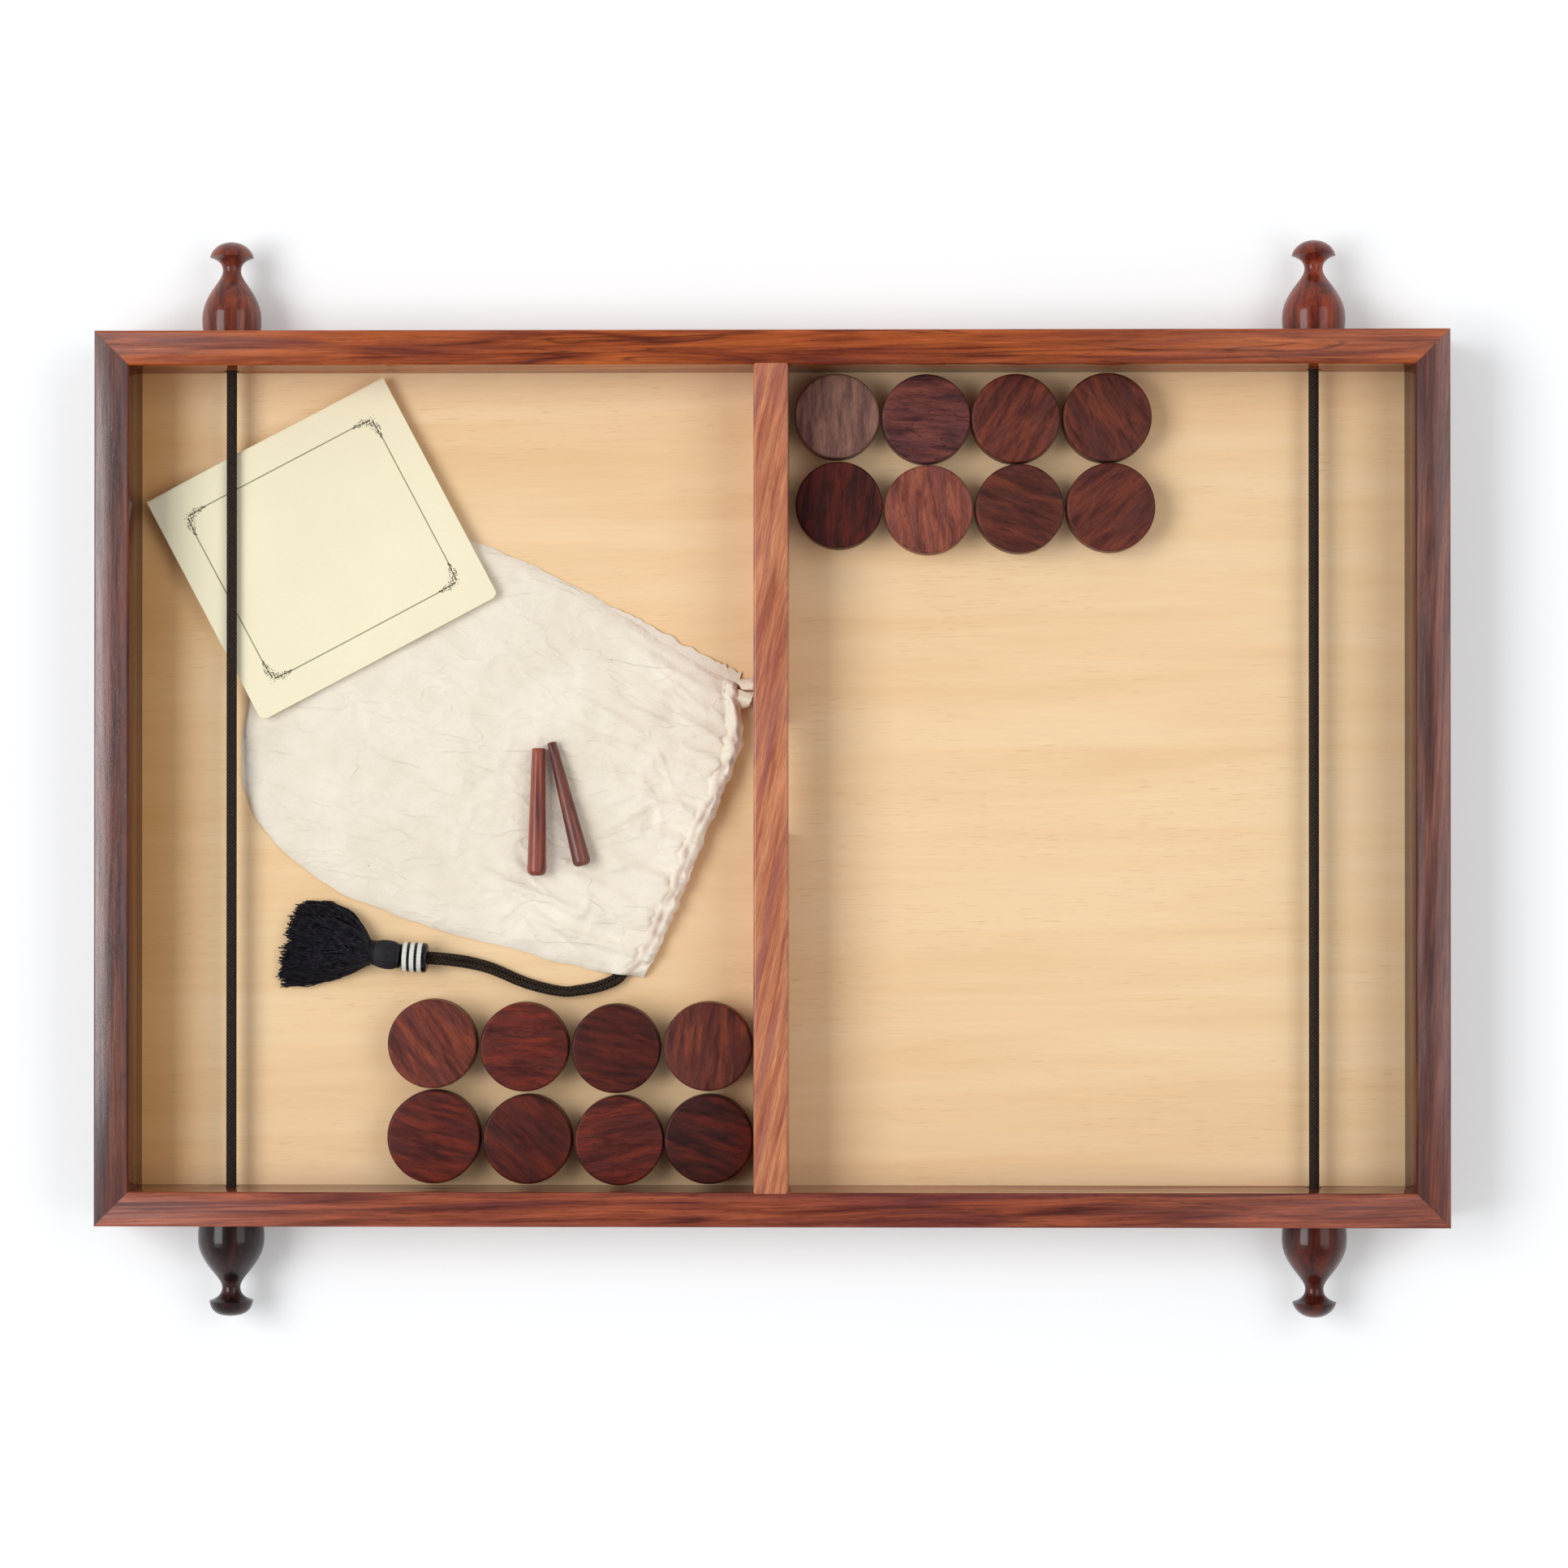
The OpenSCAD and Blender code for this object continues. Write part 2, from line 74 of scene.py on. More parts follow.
def editing(obj):  # the whole mesh is selected
    pick(obj)
    bpy.ops.object.mode_set(mode="EDIT")
    bpy.ops.mesh.select_mode(type="VERT")
    bpy.ops.mesh.select_all(action="SELECT")


def doneEditing():
    bpy.ops.object.mode_set(mode="OBJECT")


def applyModifier(obj, kind, **settings):
    pick(obj)
    modifier = obj.modifiers.new(kind.title(), kind)
    for name, value in settings.items():
        setattr(modifier, name, value)
    bpy.ops.object.modifier_apply(modifier=modifier.name)


def smoothByAngle(obj, degrees):
    pick(obj)
    bpy.ops.object.shade_smooth_by_angle(angle=radians(degrees))


def joined(objs, name):
    pick(objs[0])
    for obj in objs:
        obj.select_set(True)
    bpy.ops.object.join()
    objs[0].name = name
    return objs[0]


def facesOutward(obj):
    editing(obj)
    bpy.ops.mesh.remove_doubles(threshold=0.01 * mm)
    bpy.ops.mesh.normals_make_consistent(inside=False)
    doneEditing()


def placed(name, data):
    obj = bpy.data.objects.new(name, data)
    bpy.context.collection.objects.link(obj)
    return obj


def paint(obj, material):
    obj.data.materials.clear()
    obj.data.materials.append(material)


def finished(obj, material, body, slot, *stands, angle=None):  # stands: the CAD nodes it stands for
    if angle:
        smoothByAngle(obj, angle)
    if material:
        paint(obj, material)
    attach(obj, body)
    if stands:
        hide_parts(*stands)
    return obj


def ease(x, low, high):
    t = min(max((x - low) / (high - low), 0), 1)
    return t * t * (3 - 2 * t)


def wave(x, y=0.0, seed=0.0):  # a smooth random height, from about -1 to 1
    return 2 * noise.noise(Vector((x, y, seed)))


def throughPoints(points, steps):  # the same smooth line as the part's cord route
    line = []
    last = len(points) - 1
    for i in range(last):
        a, b = points[max(i - 1, 0)], points[i]
        c, d = points[i + 1], points[min(i + 2, last)]
        for k in range(steps):
            t = k / steps
            line.append(0.5 * (2 * b + (c - a) * t + (2 * a - 5 * b + 4 * c - d) * t * t
                               + (3 * b - a - 3 * c + d) * t ** 3))
    return line + [points[last].copy()]


def reaches(line):  # how far along a line each of its points lies
    reach = [0.0]
    for a, b in zip(line, line[1:]):
        reach.append(reach[-1] + (b - a).length)
    return reach


def along(line, share):  # the place at a share of a line's length
    reach = reaches(line)
    want = share * reach[-1]
    for i, (a, b) in enumerate(zip(line, line[1:])):
        if reach[i + 1] >= want:
            return a.lerp(b, (want - reach[i]) / max(reach[i + 1] - reach[i], 1e-12))
    return line[-1].copy()


def leftOf(line, i):  # the way to the left of a line at one of its points
    ahead = line[min(i + 1, len(line) - 1)] - line[max(i - 1, 0)]
    return Vector((-ahead.y, ahead.x)).normalized()


def asOneOf(x, table):  # a straight-line reading of a table of (x, value) pairs
    for (x0, y0), (x1, y1) in zip(table, table[1:]):
        if x <= x1:
            return y0 + (y1 - y0) * max(x - x0, 0) / (x1 - x0)
    return table[-1][1]


def gridPiece(name, columns, rows, spot):  # spot(t, s): t runs -1 to 1 across, s runs 0 to 1 up
    bpy.ops.object.select_all(action="DESELECT")
    bpy.ops.mesh.primitive_grid_add(x_subdivisions=columns, y_subdivisions=rows, size=2)
    obj = bpy.context.object
    obj.name = name
    for vertex in obj.data.vertices:
        vertex.co = spot(vertex.co.x, (vertex.co.y + 1) / 2)
    return obj


def thicken(obj, thick, offset=-1):
    applyModifier(obj, "SOLIDIFY", thickness=thick, offset=offset, use_even_offset=False)


def tidyCopy(node, name, material, slot, bevel=0, angle=35):  # a CAD node's copy, softened
    obj = nodes[node].copy()
    obj.data = nodes[node].data.copy()
    bpy.context.collection.objects.link(obj)
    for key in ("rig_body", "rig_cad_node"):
        del obj[key]
    obj.name = name
    obj.parent = None
    pick(obj)
    bpy.ops.mesh.customdata_custom_splitnormals_clear()
    facesOutward(obj)
    editing(obj)
    bpy.ops.mesh.dissolve_limited(angle_limit=radians(0.4))
    doneEditing()
    if bevel:
        applyModifier(obj, "BEVEL", width=bevel, segments=2, limit_method="ANGLE",
                      angle_limit=radians(40), use_clamp_overlap=True)
    return finished(obj, material, nodes[node]["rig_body"], slot, node, angle=angle)


# Camera
cameraSetup = {
    "place": (0.0335, -0.0128, 1.9798),
    "turn": (0.293, 0.796, -0.001),  # degrees
    "lens": 88.63,
    "sensor": 36.0,
}


def setCamera():
    data = bpy.data.cameras.new("photoCamera")
    data.lens = cameraSetup["lens"]
    data.sensor_width = cameraSetup["sensor"]
    camera = placed("photoCamera", data)
    camera.location = cameraSetup["place"]
    camera.rotation_euler = [radians(a) for a in cameraSetup["turn"]]
    bpy.context.scene.camera = camera


# Materials: colours are as read on a screen, 0 to 255
def shade(colour, share=1.0):  # made linear, and darker by a share
    values = [share * c / 255 for c in colour]
    return [c / 12.92 if c <= 0.04045 else ((c + 0.055) / 1.055) ** 2.4 for c in values] + [1]


def darker(colour, share):
    return [share * c for c in colour]


class Nodes:  # a node tree, with a short way to add to it
    def __init__(self, tree):
        self.tree = tree

    def add(self, kind, inputs=(), **settings):
        node = self.tree.nodes.new("ShaderNode" + kind)
        for name, value in settings.items():
            setattr(node, name, value)
        for socket, value in dict(inputs).items():
            self.feed(node.inputs[socket], value)
        return node

    def feed(self, socket, value):
        if isinstance(value, bpy.types.NodeSocket):
            self.tree.links.new(value, socket)
        else:
            socket.default_value = value


class Finish(Nodes):  # one material
    def __init__(self, name, roughness=0.5, **sockets):
        self.material = bpy.data.materials.new(name)
        self.material.use_nodes = True
        super().__init__(self.material.node_tree)
        self.shader = self.tree.nodes["Principled BSDF"]
        self.give(Roughness=roughness, **sockets)
        self.object = self.add("TexCoord").outputs["Object"]

    def math(self, how, a, b=0.0):
        return self.add("Math", {0: a, 1: b}, operation=how).outputs[0]

    def times(self, first, *others):
        for other in others:
            first = self.math("MULTIPLY", first, other)
        return first

    def apart(self, a, b):
        return self.math("ABSOLUTE", self.math("SUBTRACT", a, b))

    def mapped(self, place, turn, size):
        angles = [radians(a) for a in turn]
        inputs = {"Vector": self.object, "Location": place, "Rotation": angles, "Scale": size}
        return self.add("Mapping", inputs, vector_type="TEXTURE").outputs[0]

    def cloud(self, vector, scale=1.0, detail=2.0, rough=0.5, warp=0.0):
        inputs = {"Vector": vector, "Scale": scale, "Detail": detail, "Roughness": rough,
                  "Distortion": warp}
        return self.add("TexNoise", inputs).outputs[0]

    def grain(self, place, turn, size, **cloud):
        return self.cloud(self.mapped(place, turn, size), **cloud)

    def ramp(self, fac, stops):
        node = self.add("ValToRGB", {"Fac": fac})
        band = node.color_ramp
        while len(band.elements) < len(stops):
            band.elements.new(0.5)
        for element, (position, colour) in zip(band.elements, stops):
            element.position = position
            element.color = colour if hasattr(colour, "__len__") else (colour, colour, colour, 1)
        return node.outputs[0]

    def mix(self, fac, a, b, how="MIX"):
        node = self.add("Mix", {"Factor": fac, 6: a, 7: b}, data_type="RGBA", blend_type=how)
        return node.outputs[2]

    def tinted(self, a, b):
        return self.mix(1.0, a, b, "MULTIPLY")

    def give(self, **sockets):  # to the shader; Base_Color stands for Base Color
        for name, value in sockets.items():
            self.feed(self.shader.inputs[name.replace("_", " ")], value)

    def bump(self, height, strength, depth):
        made = self.add("Bump", {"Height": height, "Strength": strength, "Distance": depth})
        self.give(Normal=made.outputs[0])
        return made


# Hardwood: figure sizes are metres along and across the grain, colours as seen on a screen
rosewood = {
    "figure": (0.10, 0.0075, 0.0075),
    "vein": (0.16, 0.012, 0.012),
    "streak": (0.055, 0.0019, 0.0019),
    "fibre": (0.020, 0.0007, 0.0007),
    "pore": (0.005, 0.00032, 0.00032),
    "warp": 0.55,
    "veinLines": 7.0,
    "veinDepth": 0.6,
    "poreDepth": 0.36,
    "streakDepth": 0.16,
    "fibreDepth": 0.17,
    "plum": (112, 54, 48),
    "plumShare": 0.5,
    "rough": (0.30, 0.38),
    "coat": 0.3,
    "coatRough": 0.16,
    "gloss": 0.5,
    "relief": 0.05 * mm,
    "combed": None,  # the axis that the fibres run along: the sheen spreads across them
    "paintedSideShade": None,  # an axis, two places on it, and how light the wood is at each
    "crown": None,  # painted light and shade: an axis, two places on it, and how light the wood is painted at each
    "wall": None,  # an axis and a place on it: a smooth face there, that mirrors the floor
    "wallGloss": 0.09,
}


def hardwood(name, tones, centre, turn, **changes):  # tones: light, middle and dark
    light, mid, dark = tones
    w = {**rosewood, **changes}
    f = Finish(name, Coat_Weight=w["coat"], Coat_Roughness=w["coatRough"],
               Specular_IOR_Level=w["gloss"])

    def grain(key, share=1.0, **cloud):
        return f.grain(centre, turn, [share * s for s in w[key]], **cloud)

    figure = grain("figure", detail=4, rough=0.6, warp=w["warp"])
    tone = f.ramp(figure, [(0.35, shade(dark)), (0.48, shade(mid)), (0.63, shade(light))])
    plumSpot = grain("figure", 1.9, scale=1.3, detail=3)
    plumShare = f.ramp(plumSpot, [(0.50, 0.0), (0.64, w["plumShare"])])
    wood = f.mix(plumShare, tone, shade(w["plum"]))
    ringSpot = grain("vein", detail=2.5, rough=0.55, warp=w["warp"])
    ring = f.math("FRACT", f.times(ringSpot, w["veinLines"]))
    line = f.ramp(ring, [(0.0, 1.0), (0.04, 0.5), (0.15, 0.0), (0.84, 0.06), (0.96, 0.6), (1.0, 1.0)])
    patch = f.ramp(grain("figure", 3, scale=2.2, detail=1), [(0.38, 0.10), (0.60, 1.0)])
    wood = f.mix(f.times(line, patch, w["veinDepth"]), wood, shade(dark, 0.62))
    streak = grain("streak", detail=3, rough=0.6, warp=0.3)
    deep = w["streakDepth"]
    wood = f.tinted(wood, f.ramp(streak, [(0.36, 1 - deep), (0.62, 1 + 0.6 * deep)]))
    fibre = grain("fibre", detail=4, rough=0.68)
    deep = w["fibreDepth"]
    wood = f.tinted(wood, f.ramp(fibre, [(0.30, 1 - deep), (0.70, 1 + deep)]))
    pore = f.ramp(grain("pore", detail=1, rough=0.4), [(0.61, 0.0), (0.69, 1.0)])
    parts = f.add("SeparateXYZ", {0: f.object}).outputs
    # painted light and shade: the side rails are painted darker on the inner side and lighter on the
    # outer side, as the lamps' light falls on them
    if w["paintedSideShade"]:
        axis, low, high, lowShare, highShare = w["paintedSideShade"]
        across = f.math("DIVIDE", f.math("SUBTRACT", parts[axis], low), high - low)
        wood = f.tinted(wood, f.ramp(across, [(0.0, lowShare), (1.0, highShare)]))
    f.give(Base_Color=f.mix(f.times(pore, w["poreDepth"]), wood, shade(dark, 0.5)))
    rough = f.ramp(fibre, [(0.3, w["rough"][0]), (0.7, w["rough"][1])])
    f.give(Roughness=rough)
    bump = f.bump(f.math("SUBTRACT", fibre, f.times(pore, 0.3)), 1.0, w["relief"])
    if w["crown"]:
        axis, middle, half, high = w["crown"]
        aside = f.math("DIVIDE", f.math("SUBTRACT", parts[axis], middle), half)
        height = f.times(aside, aside, -1)
        crown = f.add("Bump", {"Height": height, "Strength": 1.0, "Distance": high})
        f.feed(bump.inputs["Normal"], crown.outputs[0])
        f.give(Coat_Normal=crown.outputs[0])
    if w["combed"]:
        across = f.add("Tangent", direction_type="RADIAL", axis=w["combed"]).outputs[0]
        f.give(Anisotropic=0.9, Tangent=across)
    if w["wall"]:
        axis, level = w["wall"]
        top = f.ramp(f.times(f.apart(parts[axis], level), 500), [(0.25, 0.0), (0.65, 1.0)])
        streaky = f.ramp(streak, [(0.36, 0.6 * w["gloss"]), (0.62, min(1.3 * w["gloss"], 1))])
        smooth = [w["wallGloss"]] * 3 + [1]
        f.give(Coat_Weight=f.times(top, w["coat"]), Anisotropic=f.times(top, 0.9),
               Specular_IOR_Level=f.mix(top, smooth, streaky))
        f.feed(bump.inputs["Strength"], f.math("ADD", f.times(top, 0.9), 0.1))
        f.give(Roughness=f.mix(top, shade((102, 102, 102)), rough))
    return f.material


# Plywood floor
plyFloor = {
    "tones": ((251, 218, 173), (248, 213, 165), (244, 206, 156)),
    "fleck": (218, 174, 124),
    "bands": (0.30, 0.020, 0.020),
    "streaks": (0.030, 0.0014, 0.0014),
    "dashes": (0.012, 0.0009, 0.0009),
    "dashPatches": (0.08, 0.03, 0.03),
    "paintedWallShadeTint": (255, 228, 190),  # painted warm shade: the floor is tinted warmer in the left wall's shade, standing in for light bounced off the wood
    "paintedWallShadeWide": (0.285, 0.316),
}


def plywood(name):
    p = plyFloor
    f = Finish(name, Coat_Weight=0.06, Coat_Roughness=0.25, Specular_IOR_Level=0.35)
    centre = (0.0, 0.0, 0.0)
    bands = f.grain(centre, (0, 0, 1.5), p["bands"], detail=4, rough=0.55, warp=0.4)
    light, mid, dark = [shade(colour) for colour in p["tones"]]
    tone = f.ramp(bands, [(0.33, dark), (0.48, mid), (0.62, light)])
    streaks = f.grain(centre, (0, 0, -1), p["streaks"], detail=4, rough=0.66, warp=0.3)
    streaked = f.tinted(tone, f.ramp(streaks, [(0.30, 0.972), (0.68, 1.014)]))
    dashes = f.grain((0.3, 0.1, 0), (0, 0, 2), p["dashes"], detail=1.5, rough=0.5)
    where = f.grain(centre, (0, 0, 3), p["dashPatches"], detail=2)
    dashMark = f.times(f.ramp(dashes, [(0.60, 0.0), (0.70, 0.34)]),
                       f.ramp(where, [(0.42, 0.15), (0.60, 1.0)]))
    flecked = f.mix(dashMark, streaked, shade(p["fleck"]))
    # painted shade: the floor near the left wall is tinted warm, where the wall shades it from the
    # left lamp
    leftward = f.times(f.add("SeparateXYZ", {0: f.object}).outputs["X"], -1)
    paintedWallShade = f.ramp(leftward, [(p["paintedWallShadeWide"][0], 0.0), (p["paintedWallShadeWide"][1], 1.0)])
    f.give(Base_Color=f.mix(paintedWallShade, flecked, f.tinted(flecked, shade(p["paintedWallShadeTint"]))))
    f.give(Roughness=f.ramp(streaks, [(0.3, 0.42), (0.7, 0.56)]))
    f.bump(f.math("SUBTRACT", streaks, dashMark), 0.2, 0.05 * mm)
    return f.material


# Braided cords: around is an angle in radians, alongside is metres
def braided(f, around, alongside, look):
    twist = f.times(alongside, pi * look["strands"] / look["pitch"])
    spin = f.times(around, look["strands"] / 2)
    one = f.math("SINE", f.math("ADD", spin, twist))
    two = f.math("SINE", f.math("SUBTRACT", spin, twist))
    height = f.math("MULTIPLY_ADD", f.math("MAXIMUM", one, two), 0.5)
    height.node.inputs[2].default_value = 0.5
    lint = f.cloud(f.object, scale=2600, detail=2)
    # painted highlight: the raised strands are coloured lighter, in the yarn's brown, and lint varies
    # it at random
    paintedStrandHighlight = f.times(height, f.ramp(lint, [(0.35, 0.5), (0.7, 1.15)]))
    low, half, high = shade(look["low"]), shade(look["high"], 0.5), shade(look["high"])
    f.give(Base_Color=f.ramp(paintedStrandHighlight, [(0.25, low), (0.75, half), (1.0, high)]))
    f.bump(height, 1.0, 0.45 * mm)
    return f.material


def cordBraid(name, look):
    f = Finish(name, 0.7, Specular_IOR_Level=0.22)
    parts = f.add("SeparateXYZ", {0: f.add("UVMap", uv_map="UVMap").outputs[0]}).outputs
    return braided(f, f.times(parts["X"], 2 * pi), parts["Y"], look)


def elasticBraid(name, axis, look):  # axis: a place on the cord's middle line
    f = Finish(name, 0.66, Specular_IOR_Level=0.3)
    parts = f.add("SeparateXYZ", {0: f.mapped((axis.x, 0, axis.z), (0, 0, 0), (1, 1, 1))}).outputs
    return braided(f, f.math("ARCTAN2", parts["Z"], parts["X"]), parts["Y"], look)


# Drawstring: two strands side by side, from the bag's casing through the bead to the tassel
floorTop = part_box("floor_panel")[1].z
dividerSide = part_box("centre_divider")[0].x
mouth = Vector((dividerSide - 28 * mm, -25 * mm, 0))
drawstring = {
    "route": [(-38.6, -71.6, 1.8), (-40, -74.4, 1.8), (-42.4, -77.0, 1.9), (-45.6, -78.8, 2),
              (-53, -81.4, 2), (-62, -83, 2), (-71, -83.5, 2), (-88, -79.5, 2), (-106, -72, 2),
              (-117, -69, 3), (-125, -67.6, 5), (-132, -66.8, 7), (-138, -66.3, 8),
              (-151.2, -65.7, 8), (-162.5, -64.2, 8)],  # mm from the bag's mouth, above the floor
    "diameter": 3.2 * mm,
    "space": 0.05 * mm,
    "twist": ((0, 16), (0.1, 24), (0.2, 34), (0.42, 52), (0.62, 30), (0.74, 0),
              (1, 0)),  # degrees, by share of the length
    "strands": 8,
    "pitch": 8 * mm,
    "low": (6, 5, 5),
    # high: the colour of a painted highlight on the raised strands
    "high": (94, 70, 50),
}


def besideRoute(route, aside):  # one of two strands that turn a little round each other
    line = []
    for i, point in enumerate(route):
        left = Vector((*leftOf(route, i), 0))
        turn = radians(asOneOf(i / (len(route) - 1), drawstring["twist"]))
        up = Vector((0, 0, aside * sin(turn) + abs(aside * sin(turn))))
        line.append(point + aside * cos(turn) * left + up)
    return line


def tubesAlong(name, lines, radius, sides):  # closed tubes of one radius, one along each line
    curve = bpy.data.curves.new(name, "CURVE")
    curve.dimensions = "3D"
    curve.bevel_depth = radius
    curve.bevel_resolution = sides // 2 - 2
    curve.use_fill_caps = True
    for line in lines:
        spline = curve.splines.new("POLY")
        spline.points.add(len(line) - 1)
        for spot, place in zip(spline.points, line):
            spot.co = (*place, 1)
    pick(placed(name, curve))
    bpy.ops.object.convert(target="MESH")
    return bpy.context.object


def giveLengthUv(obj, line):  # V becomes metres along the line, U the way round it
    mesh = obj.data
    layer = mesh.uv_layers.get("UVMap") or mesh.uv_layers.new(name="UVMap")
    reach = reaches(line)
    spots = []
    for vertex in mesh.vertices:
        near = min(range(len(line)), key=lambda i: (vertex.co - line[i]).length_squared)
        ahead = line[min(near + 1, len(line) - 1)] - line[max(near - 1, 0)]
        left = Vector((-ahead.y, ahead.x, 0)).normalized()
        up = ahead.normalized().cross(left)
        out = vertex.co - line[near]
        spots.append((atan2(out.dot(up), out.dot(left)) / (2 * pi), reach[near]))
    for face in mesh.polygons:
        turns = [spots[mesh.loops[i].vertex_index][0] for i in face.loop_indices]
        wraps = max(turns) - min(turns) > 0.5
        for i in face.loop_indices:
            turn, reached = spots[mesh.loops[i].vertex_index]
            layer.data[i].uv = (turn + 1 if wraps and turn < 0 else turn, reached)


def makeDrawstring():
    d = drawstring
    above = Vector((mouth.x, mouth.y, floorTop))
    route = throughPoints([Vector(p) * mm + above for p in d["route"]], 3)
    material = cordBraid("drawstringBraid", d)
    made = []
    for name, node, side in (("drawstringInner", "drawstring_inner", -1),
                             ("drawstringOuter", "drawstring_outer", 1)):
        line = besideRoute(route, side * (d["diameter"] + d["space"]) / 2)
        strand = tubesAlong(name, [line], d["diameter"] / 2, 16)
        giveLengthUv(strand, line)
        finished(strand, material, "bag", "drawstring_braid", node, angle=60)
        made.append((strand, line, reaches(line)[-1]))
    print("drawstring laid, metres:", [round(length, 4) for _, _, length in made])
    return made


# Frame, divider and floor. The crown is the height of a rail's round top, and how far it is turned
# outward; paintedSideShade is painted light and shade: how light the wood is painted at both sides of
# the rail
longRail = {"combed": "X", "gloss": 0.3, "coat": 0.16}
sideRail = {"combed": "Y", "rough": (0.20, 0.30), "relief": 0.08 * mm}
frameWoods = {  # inside: the axis and the end of the rail's box where its playing side is
    "back_rail": {
        **longRail, "tones": ((190, 98, 46), (160, 76, 37), (114, 46, 28)),
        "turn": (0, 0, 0.6), "plumShare": 0.3, "vein": (0.22, 0.010, 0.010), "veinDepth": 0.8,
        "wallGloss": 0.05, "inside": ("Y", 0)},
    "front_rail": {
        **longRail, "tones": ((164, 84, 56), (137, 66, 46), (92, 40, 34)),
        "turn": (0, 0, 1.2), "plum": (112, 54, 54), "plumShare": 0.65,
        "figure": (0.095, 0.0046, 0.0046), "vein": (0.12, 0.0065, 0.0065), "veinDepth": 0.45,
        "streakDepth": 0.2, "fibreDepth": 0.22, "wallGloss": 0.34, "inside": ("Y", 1)},
    "left_rail": {
        **sideRail, "tones": ((126, 66, 48), (98, 50, 41), (68, 35, 34)),
        "turn": (0, 0, 90), "plum": (92, 60, 66), "gloss": 1.0, "coat": 0.8, "coatRough": 0.34,
        "crown": (0.22 * mm, 2), "paintedSideShade": (1.0, 0.8), "inside": ("X", 1)},
    "right_rail": {
        **sideRail, "tones": ((134, 72, 52), (111, 57, 44), (82, 43, 37)),
        "turn": (0, 0, 88), "plum": (94, 58, 60), "gloss": 0.44, "coat": 0.7, "coatRough": 0.30,
        "streakDepth": 0.22, "fibreDepth": 0.24, "veinDepth": 0.4, "wallGloss": 0.02,
        "crown": (0.15 * mm, 3), "paintedSideShade": (0.62, 1.2), "inside": ("X", 0)},
}
dividerWood = {
    "tones": ((208, 138, 98), (193, 119, 83), (164, 90, 66)), "plum": (156, 88, 86),
    "plumShare": 0.6, "centre": (0.2, 0.1, 0), "turn": (0, 0, 78), "figure": (0.050, 0.0040, 0.0040),
    "vein": (0.06, 0.006, 0.006), "veinDepth": 0.20, "veinLines": 9.0,
    "fibre": (0.016, 0.0008, 0.0008), "fibreDepth": 0.2, "streak": (0.030, 0.0014, 0.0014),
    "streakDepth": 0.10, "poreDepth": 0.34, "warp": 0.35, "gloss": 0.4,
}
frameShape = {
    "jointEdge": 0.08 * mm,
    "dividerEdge": 0.25 * mm,
}


def railLook(node, wood):
    axis, end = wood["inside"]
    low, high = [getattr(corner, axis.lower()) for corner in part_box(node)]
    look = {k: v for k, v in wood.items() if k != "inside"}
    look["wall"] = axis, (low, high)[end]
    if "paintedSideShade" in wood:
        look["paintedSideShade"] = axis, low, high, *wood["paintedSideShade"]
    if "crown" in wood:
        (crown, shift), half = wood["crown"], (high - low) / 2
        middle = (low + half, high - half)[end] + (-1, 1)[end] * shift * half
        look["crown"] = axis, middle, half, crown
    return look


def makeFrame():
    for i, (node, wood) in enumerate(frameWoods.items()):
        centre = (0.31 * i, 0.17 * i, 0.02 * i)
        material = hardwood(node + "Wood", centre=centre, **railLook(node, wood))
        tidyCopy(node, node.replace("_rail", "Rail"), material, "rail_wood", frameShape["jointEdge"])
    tidyCopy("centre_divider", "centreDivider", hardwood("dividerWood", **dividerWood),
             "divider_wood", frameShape["dividerEdge"])
    nodes["floor_panel"].material_slots[0].material = plywood("floorPly")
    print("frame, divider and floor finished")


# Elastics
elasticLook = {
    "strands": 16,
    "pitch": 14 * mm,
    "low": (12, 9, 8),
    # high: the colour of a painted highlight on the raised strands
    "high": (88, 66, 50),
}


def finishElastics():
    for side in ("left", "right"):
        low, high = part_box(side + "_elastic")
        cord = elasticBraid(side + "ElasticBraid", (low + high) / 2, elasticLook)
        nodes[side + "_elastic"].material_slots[0].material = cord
    print("elastics finished")


# Turned pieces: knobs, pucks and pegs, with figure sizes like the hardwood's own
def makeTurned(node, name, slot, **look):
    tidyCopy(node, name, hardwood(node + "Wood", **look), slot, angle=50)


knobLook = {
    "turn": (0, 0, 90), "figure": (0.05, 0.006, 0.006), "vein": (0.09, 0.009, 0.009),
    "veinLines": 4.0, "veinDepth": 0.35, "coat": 0.6, "coatRough": 0.13, "plumShare": 0.3,
    "gloss": 0.1,
}
knobWoods = {
    "knob_back_left": ((144, 68, 46), (114, 52, 38), (74, 33, 27)),
    "knob_back_right": ((148, 62, 36), (116, 45, 29), (78, 28, 21)),
    "knob_front_left": ((62, 33, 30), (41, 22, 22), (25, 13, 15)),
    "knob_front_right": ((98, 34, 19), (72, 23, 13), (46, 14, 9)),
}


def makeKnobs():
    for i, (node, tones) in enumerate(knobWoods.items()):
        low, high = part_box(node)
        centre = (low + high) / 2 + Vector((0.05 * i, 0, 0.004 * i))
        _, end, side = node.split("_")
        makeTurned(node, "knob" + end.title() + side.title(), "knob_wood", tones=tones, centre=centre,
                   plum=darker(tones[1], 0.85), **knobLook)
    print("knobs finished")


puckLook = {
    "figure": (0.040, 0.0045, 0.0045), "vein": (0.045, 0.007, 0.007), "plumShare": 0.6,
    "coat": 0.12, "coatRough": 0.3, "rough": (0.44, 0.56), "warp": 0.35, "gloss": 0.14,
    "streak": (0.022, 0.0016, 0.0016), "streakDepth": 0.12,
}
puckTones = {
    "grey": ((144, 104, 90), (122, 88, 79), (96, 66, 60), (104, 74, 70)),
    "plum": ((126, 68, 60), (102, 54, 51), (68, 36, 36), (94, 56, 58)),
    "brown": ((126, 62, 44), (101, 48, 39), (72, 33, 29), (92, 50, 46)),
    "red": ((124, 48, 34), (99, 38, 30), (70, 26, 25), (90, 42, 38)),
    "dark": ((94, 33, 25), (68, 26, 21), (42, 16, 14), (58, 28, 26)),
    "light": ((158, 90, 70), (133, 71, 58), (100, 52, 44), (122, 72, 66)),
}
